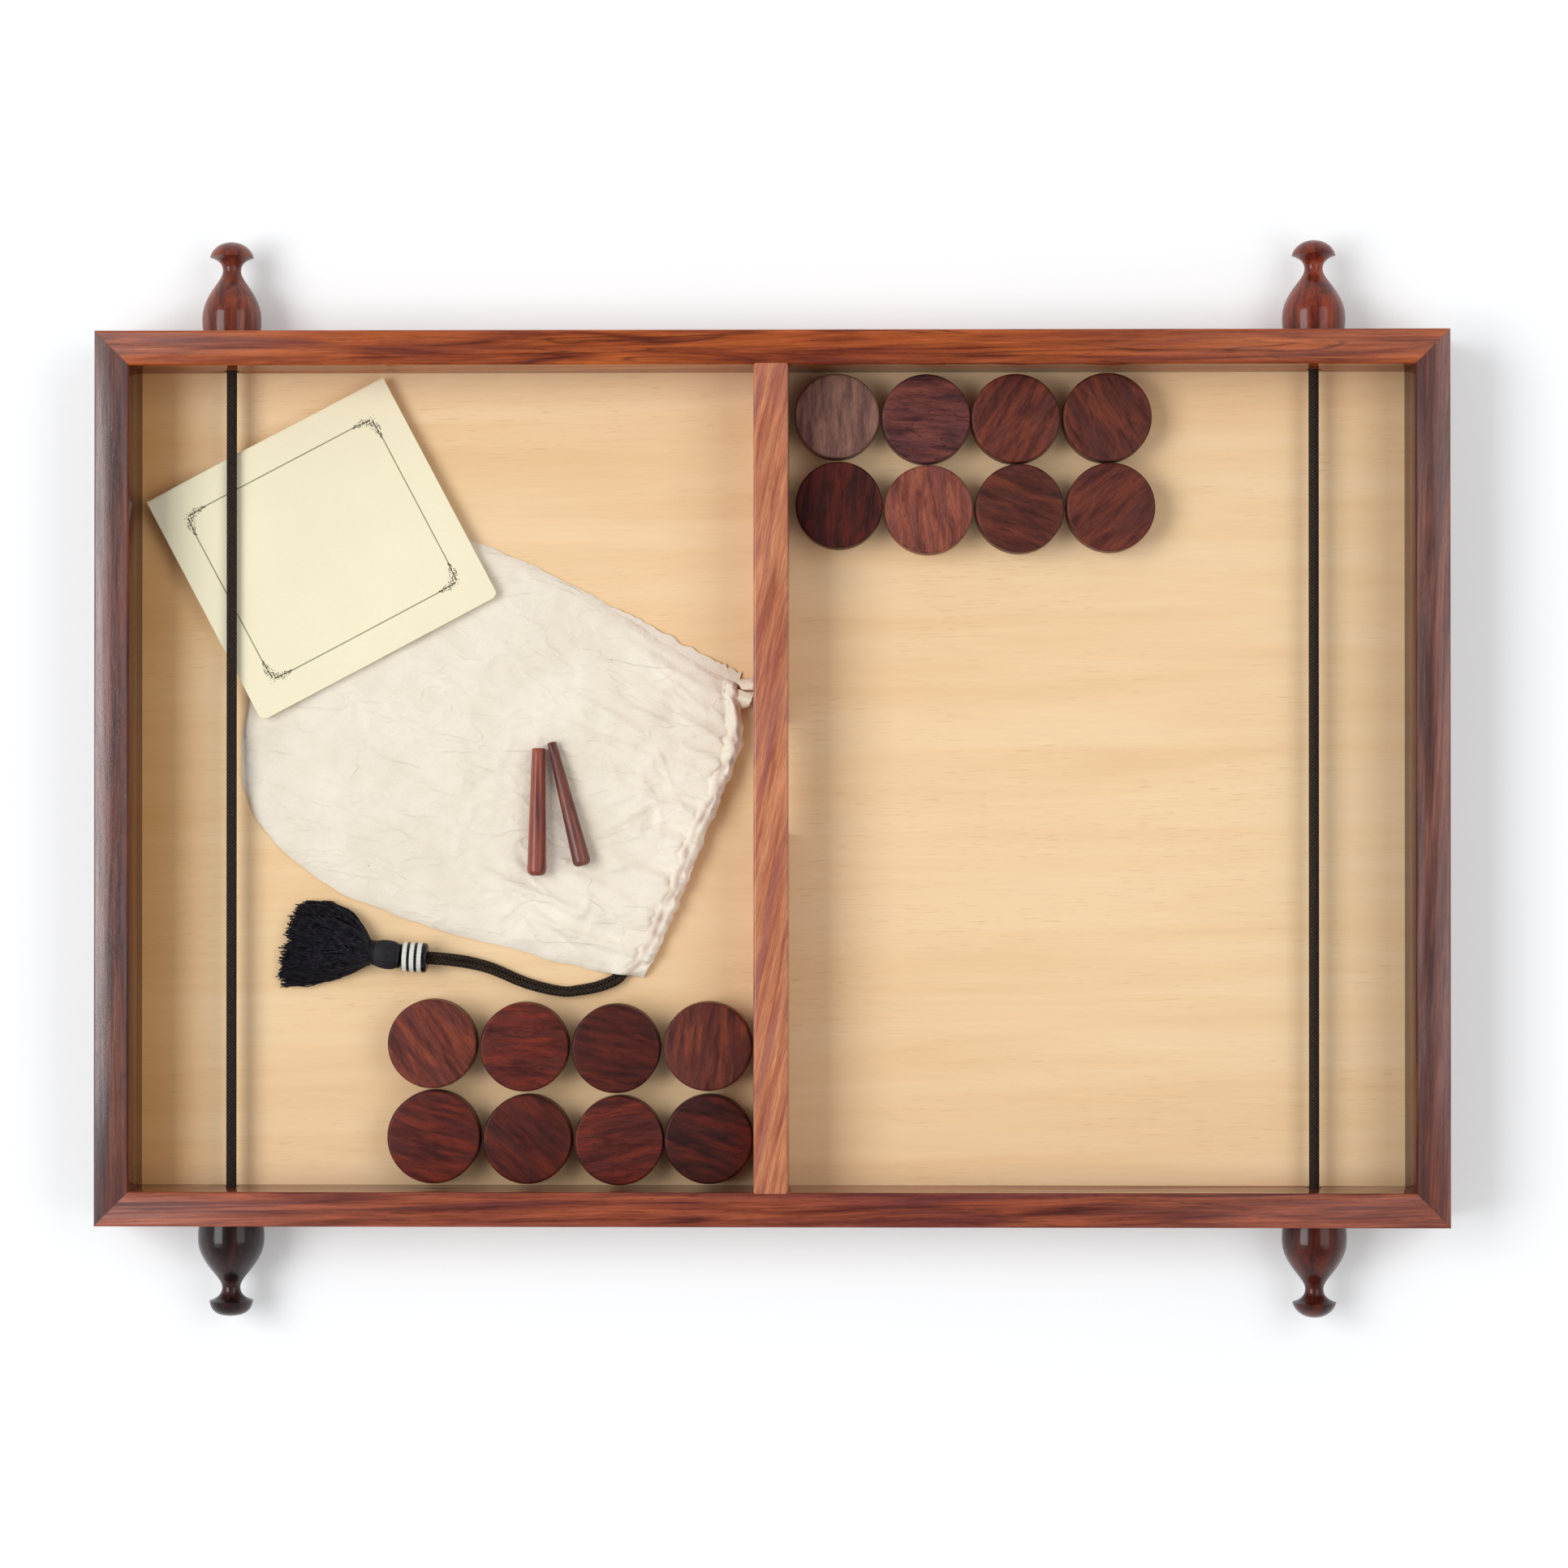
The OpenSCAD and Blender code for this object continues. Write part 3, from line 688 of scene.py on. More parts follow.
puckLooks = {  # tone, the grain's turn in degrees, how strong its lines are, and how light it is
    "puck_01": ("grey", 90, 0.15, 1),
    "puck_02": ("plum", -4, 0.9, 1),
    "puck_03": ("brown", 58, 0.4, 1),
    "puck_04": ("brown", -62, 0.5, 0.94),
    "puck_05": ("dark", 84, 0.4, 1),
    "puck_06": ("light", 94, 0.8, 1),
    "puck_07": ("brown", 158, 0.25, 0.90),
    "puck_08": ("brown", 40, 0.4, 0.97),
    "puck_09": ("dark", -18, 0.35, 1.04),
    "puck_10": ("red", 8, 0.6, 0.97),
    "puck_11": ("red", -42, 0.5, 0.84),
    "puck_12": ("red", -14, 0.3, 0.94),
    "puck_13": ("brown", 84, 0.12, 1),
    "puck_14": ("red", 168, 0.25, 0.77),
    "puck_15": ("red", -2, 0.6, 1),
    "puck_16": ("brown", 125, 0.3, 1.1),
}


def makePucks():
    for i, (node, (tone, way, depth, share)) in enumerate(puckLooks.items()):
        *tones, plum = [darker(colour, share) for colour in puckTones[tone]]
        makeTurned(node, node.replace("_", ""), "puck_wood", centre=(0.07 * i, 0.03 * i, 0.011 * i),
                   turn=(0, 9, way), tones=tones, plum=plum, veinDepth=depth, **puckLook)
    print("pucks finished")


pegLook = {
    "centre": (0.1, 0.2, 0), "figure": (0.06, 0.003, 0.003), "vein": (0.12, 0.004, 0.004),
    "veinDepth": 0.25, "plumShare": 0.2, "coat": 0.4, "coatRough": 0.25, "gloss": 0.3,
}
pegWoods = {
    "tension_peg_1": {"turn": (0, 0, -90.8), "tones": ((172, 88, 68), (146, 68, 52), (104, 44, 38))},
    "tension_peg_2": {"turn": (0, 0, -75.7), "tones": ((136, 78, 66), (112, 60, 52), (74, 40, 38))},
}


def makePegs():
    for node, wood in pegWoods.items():
        makeTurned(node, "tensionPeg" + node[-1], "peg_wood", **pegLook, **wood)
    print("pegs finished")


# Bag: two cloths sewn together, with a gathered casing at the mouth that stands up a little.
# Its own frame has x along the bag, 0 at the mouth and minus to the round end, and y across.
bag = {
    "turn": -18.8,  # degrees
    "length": 240 * mm,
    "width": 190 * mm,
    "outline": [(-0.008, -0.43), (-0.1, -0.453), (-0.27, -0.472), (-0.57, -0.488), (-0.80, -0.44),
                (-0.952, -0.285), (-1, 0.04), (-0.91, 0.37), (-0.80, 0.485), (-0.65, 0.535),
                (-0.32, 0.49), (-0.14, 0.45), (-0.02, 0.43)],  # shares, low corner to high corner
    "farEnd": 6,  # the outline's point at the round end
    "sideLong": 265.0,  # mm from the mouth along a side to the round end
    "lean": ((0, 0), (16, 2.4), (40, 4.6), (80, 7.0), (120, 10.4), (137, 11.2), (147, 7), (160, 0)),
    "casing": ((0, 8.6), (40, 7.6), (80, 7.2), (130, 7.0), (160, 6)),  # width in mm, by mm along
    "casingTop": ((0, 5.6), (25, 7.0), (60, 9.0), (100, 12), (130, 13), (148, 10.5), (160, 6)),
    "seam": 0.75,  # heights above the floor, in mm
    "stitch": ((0, 3.9), (90, 4.0), (130, 4.4), (160, 3.4)),
    "middle": 3.0,
    "cordUnder": (-40.5, -75.0),  # where the cloth's edge lifts over the cords, mm from the mouth
    "underThings": 3.75,
    "underBooklet": (3.2, 0.8),  # folds grow slowly above this height, and by no more than this
    "bookletSteps": ((30, -22), (60, -45)),  # mm that the booklet can move beside the bag
    "strip": ((0, 6.0), (20, 5.2), (45, 3.6), (80, 0.0)),  # back cloth that shows, mm from the mouth
    "folds": [  # from x, y to x, y as shares, then half width and height in mm
        (0.27, 0.25, 0.07, 0.23, 2.6, 1.6), (0.33, -0.21, 0.07, -0.25, 3.2, 2.1),
        (0.42, -0.30, 0.08, -0.33, 2.8, 2.4), (0.30, -0.37, 0.06, -0.385, 2.2, 1.7),
        (0.30, -0.12, 0.09, -0.16, 3.6, 1.2), (0.24, 0.14, 0.06, 0.13, 2.4, 1.2),
        (0.22, 0.39, 0.06, 0.35, 2.2, 1.2), (0.17, 0.03, 0.06, 0.02, 2.0, 1.0),
        (0.19, 0.31, 0.06, 0.30, 1.8, 1.0), (0.86, -0.06, 0.50, -0.17, 6.0, 0.6),
        (0.84, 0.10, 0.62, -0.05, 5.0, 0.55), (0.62, -0.36, 0.40, -0.40, 4.0, 0.9),
        (0.36, 0.44, 0.16, 0.37, 3.4, 1.1), (0.55, 0.44, 0.42, 0.30, 5.0, 0.8)],
    "creases": [  # turn in degrees, spacing along and across in mm, width, height in mm, seed
        (4, 70, 17, 0.10, 1.1, 3.3), (42, 44, 20, 0.09, 0.8, 8.1), (-36, 50, 22, 0.09, 0.8, 12.7),
        (14, 26, 11, 0.12, 0.6, 21.9), (-8, 90, 34, 0.16, 1.3, 31.2)],
    "rows": (8, 32, 64, 176),  # up the rim, across the casing, over the gathers, and the rest
    "columns": 160,
    "gathers": 34.0,  # mm beyond the casing that have the fine rows
    "backLong": 267,  # mm from the mouth along a side of the back cloth
    "stitches": 46,
    "stitchThread": 0.2 * mm,
    "cloth": 0.4 * mm,
    "weave": 0.62 * mm,  # from thread to thread
    "slubs": (0.022, 0.0007, 0.0007),  # metres along and across the thicker threads
    "colour": (251, 242, 227),
    "stain": (243, 233, 214),
    "fleck": (120, 98, 72),
    "paintedSeamShadeColour": (194, 168, 164),  # painted shade: the cloth's colour in the shaded valley beside the casing
    "paintedSeamShadeWide": 1.7,  # mm
    "backPaintedShade": 0.18,  # how much of that painted shade the whole back cloth has
    "tabs": [  # loose corners of the casing: how far the middle curls up, and the corners, in mm
        ("bagTabUpper", 2.4,
         (-18.5, 50.6, 2.2), (-15.4, 45.4, 4.4), (-9.3, 45.2, 5.0), (-9.6, 51.2, 1.4)),
        ("bagTabLower", 3.0,
         (-23.0, 47.0, 3.0), (-20.5, 34.0, 2.6), (-11.6, 36.6, 4.2), (-9.2, 43.4, 5.0))],
}
bagPlace = Matrix.Translation(mouth) @ Matrix.Rotation(radians(bag["turn"]), 4, "Z")
pegBoxes = [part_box("tension_peg_1"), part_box("tension_peg_2")]


def onFloor(home, x, y, height):  # home sets x and y; the height is mm above the floor
    place = home @ Vector((x, y, 0))
    place.z = floorTop + height * mm
    return place


def bagSides():
    size = Vector((bag["length"], bag["width"]))
    line = throughPoints([Vector((x * size.x, y * size.y)) for x, y in bag["outline"]], 12)
    rough = []
    for i, point in enumerate(line):
        out = (0.7 * wave(point.x / mm / 13, point.y / mm / 13, 1.3) - 0.2) * mm
        rough.append(point + out * leftOf(line, i))
    split = 12 * bag["farEnd"]
    sides = rough[:split + 1], rough[:split - 1:-1]
    return [[along(side, k / 300) for k in range(301)] for side in sides]


def atShare(side, share):
    spot = min(max(share, 0), 1) * (len(side) - 1)
    i = min(int(spot), len(side) - 2)
    return side[i].lerp(side[i + 1], spot - i)


def foldHeight(x, y):  # from mm along the bag and across it
    height = 0
    for x0, y0, x1, y1, wide, high in bag["folds"]:
        start = Vector((x0 * bag["length"], y0 * bag["width"])) / mm
        run = Vector((x1 * bag["length"], y1 * bag["width"])) / mm - start
        here = Vector((x, y)) - start
        share = here.dot(run) / run.length_squared
        inside = min(max(share, 0), 1)
        away = (here - inside * run).length
        if away < 3 * wide:
            crest = exp(-(away / wide) ** 2)
            height += high * crest * sqrt(max(4 * (0.04 + 0.96 * inside) * (1 - inside), 0))
    return height


def creaseHeight(x, y):  # thin ridges where a slow noise passes through nought, here and there
    height = 0
    for turn, longer, shorter, wide, high, seed in bag["creases"]:
        c, s = cos(radians(turn)), sin(radians(turn))
        u, v = (c * x + s * y) / longer, (c * y - s * x) / shorter
        level = noise.noise(Vector((u, v, seed)))
        here = ease(noise.noise(Vector((x / 34, y / 34, seed + 20))), -0.08, 0.22)
        height += high * here * exp(-(level / wide) ** 2)
    return height


def fromBooklet(place):  # how far a place is from the booklet's side, and minus under it
    here = bookletWay @ place
    return max(abs(here.x) - booklet["length"] / 2, abs(here.y) - booklet["width"] / 2)


def underThings(place):  # 1 where a peg or the booklet lies on the bag, 0 well away from them
    near = 1 - ease(fromBooklet(place), 0, 7 * mm)
    for low, high in pegBoxes:
        away = Vector([max(low[i] - place[i], place[i] - high[i], 0) for i in (0, 1)])
        near = max(near, 1 - ease(away.length, 1 * mm, 7 * mm))
    return near


def bookletPasses(place):  # 1 where the booklet can come when it and the bag are pushed about
    steps = [Vector((*step, 0)) * mm for step in bag["bookletSteps"]]
    return max(1 - ease(fromBooklet(place - step), 1 * mm, 6 * mm) for step in steps)


def rowInward(r, casing):  # mm from the mouth's rim, and how far up the rim, for a share of the rows
    wall, over, fine, rest = bag["rows"]
    row = r * sum(bag["rows"])
    if row < wall:
        return 0.0, row / wall
    if row < wall + over:
        return casing * (row - wall) / over, 1.0
    if row < wall + over + fine:
        return casing + bag["gathers"] * (row - wall - over) / fine, 1.0
    share = (row - wall - over - fine) / rest
    return casing + bag["gathers"] + (bag["sideLong"] - casing - bag["gathers"]) * share, 1.0


def frontSpot(low, high, t, r):
    c = bag
    mouthWide = (high[0] - low[0]).length / mm
    across = (t + 1) / 2 * mouthWide  # mm along the mouth
    casing = asOneOf(across, c["casing"]) + 1.5 * wave(across / 9, 1.7)
    casing += 0.9 * wave(across / 3.4, 5.1)
    inward, climb = rowInward(r, casing)
    share = inward / c["sideLong"]
    a, b = atShare(low, share), atShare(high, share)
    b = b + (a - b).normalized() * asOneOf(inward, c["strip"]) * mm
    place = a.lerp(b, (t + 1) / 2)
    lean = asOneOf(across, c["lean"]) * exp(-inward / 45)
    place = place + Vector((lean * mm, -0.15 * lean * mm))
    edge = (1 - abs(t)) / 2 * (b - a).length / mm
    gather = wave(across / 5.2, 9.2) + 0.8 * wave(across / 10.5, 2.4)
    lump = 0.5 * gather + 0.6 * wave(across / 13, 7.9)
    top = asOneOf(across, c["casingTop"]) + lump
    if inward <= casing:
        q = inward / casing
        rim = 0.74 * top
        stitch = asOneOf(across, c["stitch"]) + 0.4 * gather
        if q < 0.36:
            z = rim + (top - rim) * sin(pi / 2 * q / 0.36)
        else:
            z = top + (stitch - top) * ease(q, 0.30, 1.0)
        puff = 1.1 * wave(across / 3.3, inward / 4, 4.4) + 1.6 * wave(across / 6.5, inward / 6, 6.2)
        z += puff * (1 - 0.8 * q) * min(top / 9, 1)
        out = (0.6 * wave(across / 9, 6.6) + 0.5 * wave(across / 4, 8.8)) * (1 - q)
        if climb < 1:
            z = rim * climb + 1.2 * (1 - climb)
            out += 0.8 * sin(pi * climb) - 1.2 * (1 - climb)
        place = place + Vector((out * mm, 0))
        z = c["seam"] + (z - c["seam"]) * (1 - exp(-edge / 1.6))
    else:
        beyond = inward - casing
        world = bagPlace @ Vector((place.x, place.y, 0))
        x, y = -place.x / mm, place.y / mm
        stitch = asOneOf(across, c["stitch"])
        z = c["middle"] + 0.3 * wave(x / 38, y / 30, 3.3) + 0.18 * wave(x / 12, y / 9, 7.3)
        z += (stitch + 0.4 * gather - c["middle"]) * exp(-beyond / 3.5)
        z += 1.8 * (1 - exp(-beyond / 1.8)) * exp(-beyond / 11)
        pucker = 1.9 * gather * exp(-beyond / 11)
        pucker += 1.3 * wave(across / 11, beyond / 60, 4.7) * exp(-beyond / 30)
        z += pucker * (1 - exp(-(beyond + 0.5) / 2))
        z += foldHeight(x, y)
        z += creaseHeight(x, y) * (0.5 + 1.0 * exp(-beyond / 70)) * (1 - exp(-beyond / 6))
        soft, more = c["underBooklet"]
        if z > soft:
            capped = soft + more * (1 - exp(-(z - soft) / more))
            z += (capped - z) * bookletPasses(world)
        held = underThings(world)
        flat = c["underThings"] - 0.9 * exp(-edge / 6)
        z = z + (min(z, flat) - z) * held
        z = c["seam"] + (z - c["seam"]) * (1 - exp(-edge / 3.6))
    place = bagPlace @ Vector((place.x, place.y, 0))
    cordUnder = Vector(c["cordUnder"]) * mm + mouth.xy
    away = (place.xy - cordUnder).length / mm
    z += 4.4 * exp(-(away / 6) ** 2) * exp(-edge / 14)
    place.z = floorTop + z * mm
    return place


def backSpot(low, high, t, r):
    inward = (bag["backLong"] - 1) * r ** 1.5 + 0.6
    share = inward / bag["backLong"]
    a, b = atShare(low, share), atShare(high, share)
    a = a + (b - a).normalized() * mm
    place = a.lerp(b, (t + 1) / 2)
    wide = (b - a).length / mm
    edge = (1 - abs(t)) / 2 * wide
    if t > 0.9:
        frayed = (0.9 * wave(inward / 1.7, 3.9) + 0.7 * wave(inward / 7, 6.1)) * (t - 0.9) / 0.1
        place = place + (b - a).normalized() * frayed * mm
    shown = exp(-(((1 - t) / 2 * wide) / 7) ** 2) * (1 - ease(inward, 50, 90))
    z = 0.42 + 0.8 * shown * (0.5 + 0.5 * wave(inward / 9, 2.2)) + 0.2 * shown
    z += (1.6 + 0.5 * wave(t * 9, 1.1)) * exp(-inward / 4) * (1 - exp(-edge / 3))
    return onFloor(bagPlace, place.x, place.y, z)


def cotton(name):
    f = Finish(name, 0.9, Specular_IOR_Level=0.2, Sheen_Weight=0.25, Sheen_Roughness=0.5)
    turned = f.mapped((mouth.x, mouth.y, 0), (0, 0, bag["turn"]), (1, 1, 1))
    parts = f.add("SeparateXYZ", {0: turned}).outputs
    wobble = f.times(f.cloud(turned, scale=260, detail=1), 1.6)
    ways = [f.math("ADD", f.times(parts[axis], 2 * pi / bag["weave"]), wobble) for axis in "XY"]
    weave = f.times(*[f.math("SINE", way) for way in ways])
    slubs = f.math("ADD", *[f.grain((at, 0, 0), (0, 0, bag["turn"] + turn), bag["slubs"], detail=2)
                            for at, turn in ((0.2, 0), (0.1, 90))])
    stain = f.ramp(f.cloud(f.object, scale=24, detail=4, rough=0.6), [(0.38, 0.0), (0.62, 1.0)])
    base = f.mix(stain, shade(bag["colour"]), shade(bag["stain"]))
    base = f.tinted(base, f.ramp(slubs, [(0.40, 0.955), (0.62, 1.02)]))
    base = f.tinted(base, f.ramp(weave, [(0.0, 0.975), (1.0, 1.01)]))
    spots = f.add("TexVoronoi", {"Vector": f.object, "Scale": 85, "Randomness": 1.0})
    spotSize = f.times(f.cloud(f.object, scale=120, detail=0), 0.075)
    fleck = f.math("LESS_THAN", spots.outputs["Distance"], f.math("SUBTRACT", spotSize, 0.022))
    seldom = f.ramp(f.cloud(f.object, scale=48, detail=0), [(0.53, 0.0), (0.56, 0.75)])
    # painted shade: a vertex layer that darkens the cloth in the valley beside the casing and over
    # the whole back cloth
    paintedClothShade = f.add("Attribute", attribute_name="paintedClothShade").outputs["Fac"]
    base = f.mix(paintedClothShade, base, f.tinted(base, shade(bag["paintedSeamShadeColour"])))
    f.give(Base_Color=f.mix(f.times(fleck, seldom), base, shade(bag["fleck"])))
    crumple = f.grain((0.3, 0.1, 0), (0, 0, 20), (0.015, 0.010, 0.012), detail=4, rough=0.62)
    level = f.grain((0.6, 0.4, 0), (0, 0, -10), (0.030, 0.013, 0.02), detail=2, warp=0.6)
    pinched = f.ramp(f.apart(level, 0.5), [(0.0, 1.0), (0.05, 0.25), (0.14, 0.0)])
    big = f.math("ADD", crumple, f.times(pinched, 0.22))
    threads = f.math("ADD", f.times(weave, 0.018), f.times(slubs, 0.06))
    f.bump(f.math("ADD", big, threads), 1.0, 1.6 * mm)
    return f.material


def markPaintedShade(piece, share):  # share: 0 to 1 for a place in the bag's frame, in mm
    home = bagPlace.inverted()
    layer = piece.data.attributes.new("paintedClothShade", "FLOAT", "POINT")
    for vertex in piece.data.vertices:
        place = home @ vertex.co / mm
        layer.data[vertex.index].value = share(place.x, place.y)


def seamPaintedShade(x, y, wide):  # wide: half the mouth's width in mm
    across = y + wide
    casing = asOneOf(across, bag["casing"])
    seam = asOneOf(across, bag["lean"]) * exp(-casing / 45) - casing
    near = exp(-((x - seam + 1.5 * wave(across / 9, 1.7)) / bag["paintedSeamShadeWide"]) ** 2)
    return near * (0.55 + 0.45 * wave(across / 7, 3.1))


def cornerTab(name, curl, *corners):  # all in mm
    a, b, c, d = [Vector(corner) * mm for corner in corners]

    def spot(t, s):
        across = (t + 1) / 2
        place = a.lerp(b, across).lerp(d.lerp(c, across), s)
        lift = curl * mm * (1 - (2 * across - 1) ** 2) * (0.4 + 0.6 * s)
        ragged = 0.45 * mm * wave(across * 9, s * 3, 2.7) * s
        return place + Vector((ragged, ragged, lift + floorTop))

    return gridPiece(name, 12, 12, spot)


def makeBag():
    low, high = bagSides()
    cloth = cotton("bagCotton")
    rows = sum(bag["rows"])
    front = gridPiece("bagFront", bag["columns"], rows, lambda t, s: frontSpot(low, high, t, s))
    back = gridPiece("bagBack", 90, 90, lambda t, s: backSpot(low, high, t, s))
    tabs = joined([cornerTab(*tab) for tab in bag["tabs"]], "bagCornerTabs")
    for piece, stands in (front, ("bag_body", "bag_casing")), (back, ()), (tabs, ()):
        editing(piece)
        bpy.ops.mesh.remove_doubles(threshold=0.02 * mm)
        doneEditing()
        thicken(piece, bag["cloth"])
        facesOutward(piece)
        finished(piece, cloth, "bag", "bag_cotton", *stands, angle=60)
    wide = (high[0] - low[0]).length / mm / 2
    # painted shade along the casing's seam valley, and an even painted shade on the back cloth
    markPaintedShade(front, lambda x, y: min(max(seamPaintedShade(x, y, wide), 0), 1))
    markPaintedShade(back, lambda x, y: bag["backPaintedShade"])
    stitches = finished(makeStitches(low, high), cloth, "bag", "bag_cotton", angle=60)
    print("bag sewn, faces:", len(front.data.polygons), len(back.data.polygons))
    return front, back, tabs, stitches


def makeStitches(low, high):  # the row of stitches that closes the casing
    lines = []
    count = bag["stitches"]
    row = (sum(bag["rows"][:2]) - 0.7) / sum(bag["rows"])
    for k in range(1, count):
        line = []
        for step, lift in ((-0.3, 0.02), (0, 0.3), (0.3, 0.02)):
            place = frontSpot(low, high, 2 * (k + step) / count - 1, row)
            line.append(place + Vector((0, 0, lift * mm)))
        lines.append(line)
    return tubesAlong("casingStitches", lines, bag["stitchThread"], 8)


# Bead
beadLook = {
    "length": 13.3,  # mm
    "turn": 177,  # degrees
    "middle": 8,  # mm above the floor
    "bands": (0.15, 0.43, 0.71),  # shares of the length, from the tassel's side
    "bandHalf": 0.0825,
    "bandBlur": 0.012,
    "white": (234, 234, 227),
    "black": (9, 9, 10),
}


def makeBead():
    b = beadLook
    low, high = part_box("bead")
    f = Finish("beadLacquer", 0.3, Coat_Weight=0.25, Coat_Roughness=0.1, Specular_IOR_Level=0.3)
    spot = f.mapped((low + high) / 2, (0, 0, b["turn"]), (b["length"] * mm, 1, 1))
    fromTassel = f.math("SUBTRACT", 0.5, f.add("SeparateXYZ", {0: spot}).outputs["X"])
    edge = [(b["bandHalf"] - b["bandBlur"], 1.0), (b["bandHalf"] + b["bandBlur"], 0.0)]
    white = 0.0
    for band in b["bands"]:
        white = f.math("MAXIMUM", white, f.ramp(f.apart(fromTassel, band), edge))
    scuff = f.cloud(f.object, scale=900, detail=3)
    whiteTone = f.ramp(scuff, [(0.3, shade(b["white"], 0.93)), (0.7, shade(b["white"]))])
    f.give(Base_Color=f.mix(white, shade(b["black"]), whiteTone),
           Roughness=f.ramp(scuff, [(0.3, 0.18), (0.7, 0.34)]))
    f.bump(white, 0.5, 0.12 * mm)
    bead = tidyCopy("bead", "stripedBead", f.material, "bead_striped", angle=50)
    print("bead finished")
    return bead


# Tassel: a head bound with thread, and a fan of loose threads that lies on the floor
tassel = {
    "headTurn": 172,
    "headProfile": [(0, 0), (0.2, 4.9), (1.0, 6.1), (2.0, 6.0), (2.8, 6.5), (4.6, 7.1), (7.4, 7.3),
                    (10.4, 7.0), (12.8, 6.4), (14.5, 6.1), (16.4, 6.0),
                    (16.6, 0)],  # mm along, radius
    "wraps": (13.2, 16.3),  # where thread is wound round the head, in mm
    "skirtTurn": 174,
    "skirtStart": 16.8,  # mm from the bead
    "neck": 6.0,
    "spread": ((16.0, 7.4), (16.8, 24.0)),  # mm of widening and how soon, on the upper and lower side
    "low": ((-1, 2.2), (1, 1.6), (6, 0.7), (50, 0.5)),  # height of the underside, mm by mm along
    "high": ((-1, 13.8), (3, 13.2), (8, 11.4), (20, 9.2), (32, 7.0), (50, 4.4)),
    "locks": 110,
    "threadsInLock": 9,
    "loose": 50,
    "thread": 0.25 * mm,
    "length": 41.5,
    "looseThread": 0.2 * mm,
    "core": 34,  # mm
    "ends": [  # threads that lie apart at the skirt's end: along and aside in mm, height, turn
        (38, -4.5, 1.2, 8), (38.5, -12.6, 1.0, -18), (33.2, 13.5, 1.2, 28), (38.6, 5.2, 1.0, -6),
        (27.5, 19.4, 1.4, 34), (35.5, -19.5, 0.9, -22), (36, 9.0, 1.6, 55), (34, -16.0, 1.4, 30),
        (24, 20.6, 1.2, 12)],
    "seed": 7,
    "colour": (9, 8, 12),
    "glint": (37, 35, 44),
}


def heading(degrees):  # the way that this turn points, seen from above
    return Vector((cos(radians(degrees)), sin(radians(degrees)), 0))


def tasselFrame(turn):  # the bead's end at the tassel, the way ahead from it, and the way aside
    low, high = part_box("bead")
    end = (low + high) / 2
    end.z = floorTop + beadLook["middle"] * mm
    end += beadLook["length"] / 2 * mm * heading(beadLook["turn"])
    ahead = heading(turn)
    return end, ahead, Vector((ahead.y, -ahead.x, 0))


def yarn(name, ribs, paintedLightShare=1.0):
    f = Finish(name, 0.55, Specular_IOR_Level=0.3)
    patch = f.cloud(f.object, scale=420, detail=3)
    fine = f.grain((0, 0, 0), (0, 0, tassel["skirtTurn"]), (0.006, 0.0004, 0.0004), detail=2)
    both = f.times(patch, f.math("ADD", fine, 0.5))
    low, high = [shade(tassel[key], paintedLightShare) for key in ("colour", "glint")]
    f.give(Base_Color=f.ramp(both, [(0.30, low), (0.72, high)]),
           Roughness=f.ramp(patch, [(0.3, 0.42), (0.7, 0.65)]))
    f.bump(fine, ribs, 0.2 * mm)
    return f.material


def skirtSpot(a, x, h):  # a is -1 to 1 across, x is mm along, h is 0 to 1 from the floor up
    more, soon = tassel["spread"][0 if a > 0 else 1]
    aside = a * (tassel["neck"] + more * (1 - exp(-max(x, 0) / soon)))
    low, high = asOneOf(x, tassel["low"]), asOneOf(x, tassel["high"])
    return aside, low + (high - low) * h * sqrt(max(1 - 0.82 * a * a, 0))


def threadReach(a):  # how far the threads come, in mm, by how far aside they lie
    if a > 0:
        return tassel["length"] - 8 * a ** 3
    return tassel["length"] + 1.5 * ease(-a, 0, 0.25) - 3 * (max(-a - 0.72, 0) / 0.28) ** 2


def makeHead():
    c = tassel
    end, ahead, side = tasselFrame(c["headTurn"])
    profile = throughPoints([Vector(p) for p in c["headProfile"]], 6)
    wrapStart, wrapEnd = c["wraps"]

    def headSpot(t, s):
        x, radius = along(profile, s)
        angle = pi * t
        rib = 0.12 * cos(40 * angle + 0.8 * sin(x)) * ease(radius, 2.5, 4)
        rib *= 1 - ease(x, wrapStart - 0.6, wrapStart)
        wrap = 0.2 * sin(2 * pi * x / 0.7) * ease(x, wrapStart, wrapStart + 0.5)
        r = max(radius + rib + wrap * (1 - ease(x, wrapEnd - 0.2, wrapEnd + 0.1)), 0) * mm
        up = Vector((0, 0, r * sin(angle)))
        return end + ahead * (x + 0.1) * mm + side * r * cos(angle) + up

    head = gridPiece("tasselHead", 200, 110, headSpot)
    facesOutward(head)
    return finished(head, yarn("headThread", 0.3), "bag", "tassel_thread", "tassel_head", angle=60)


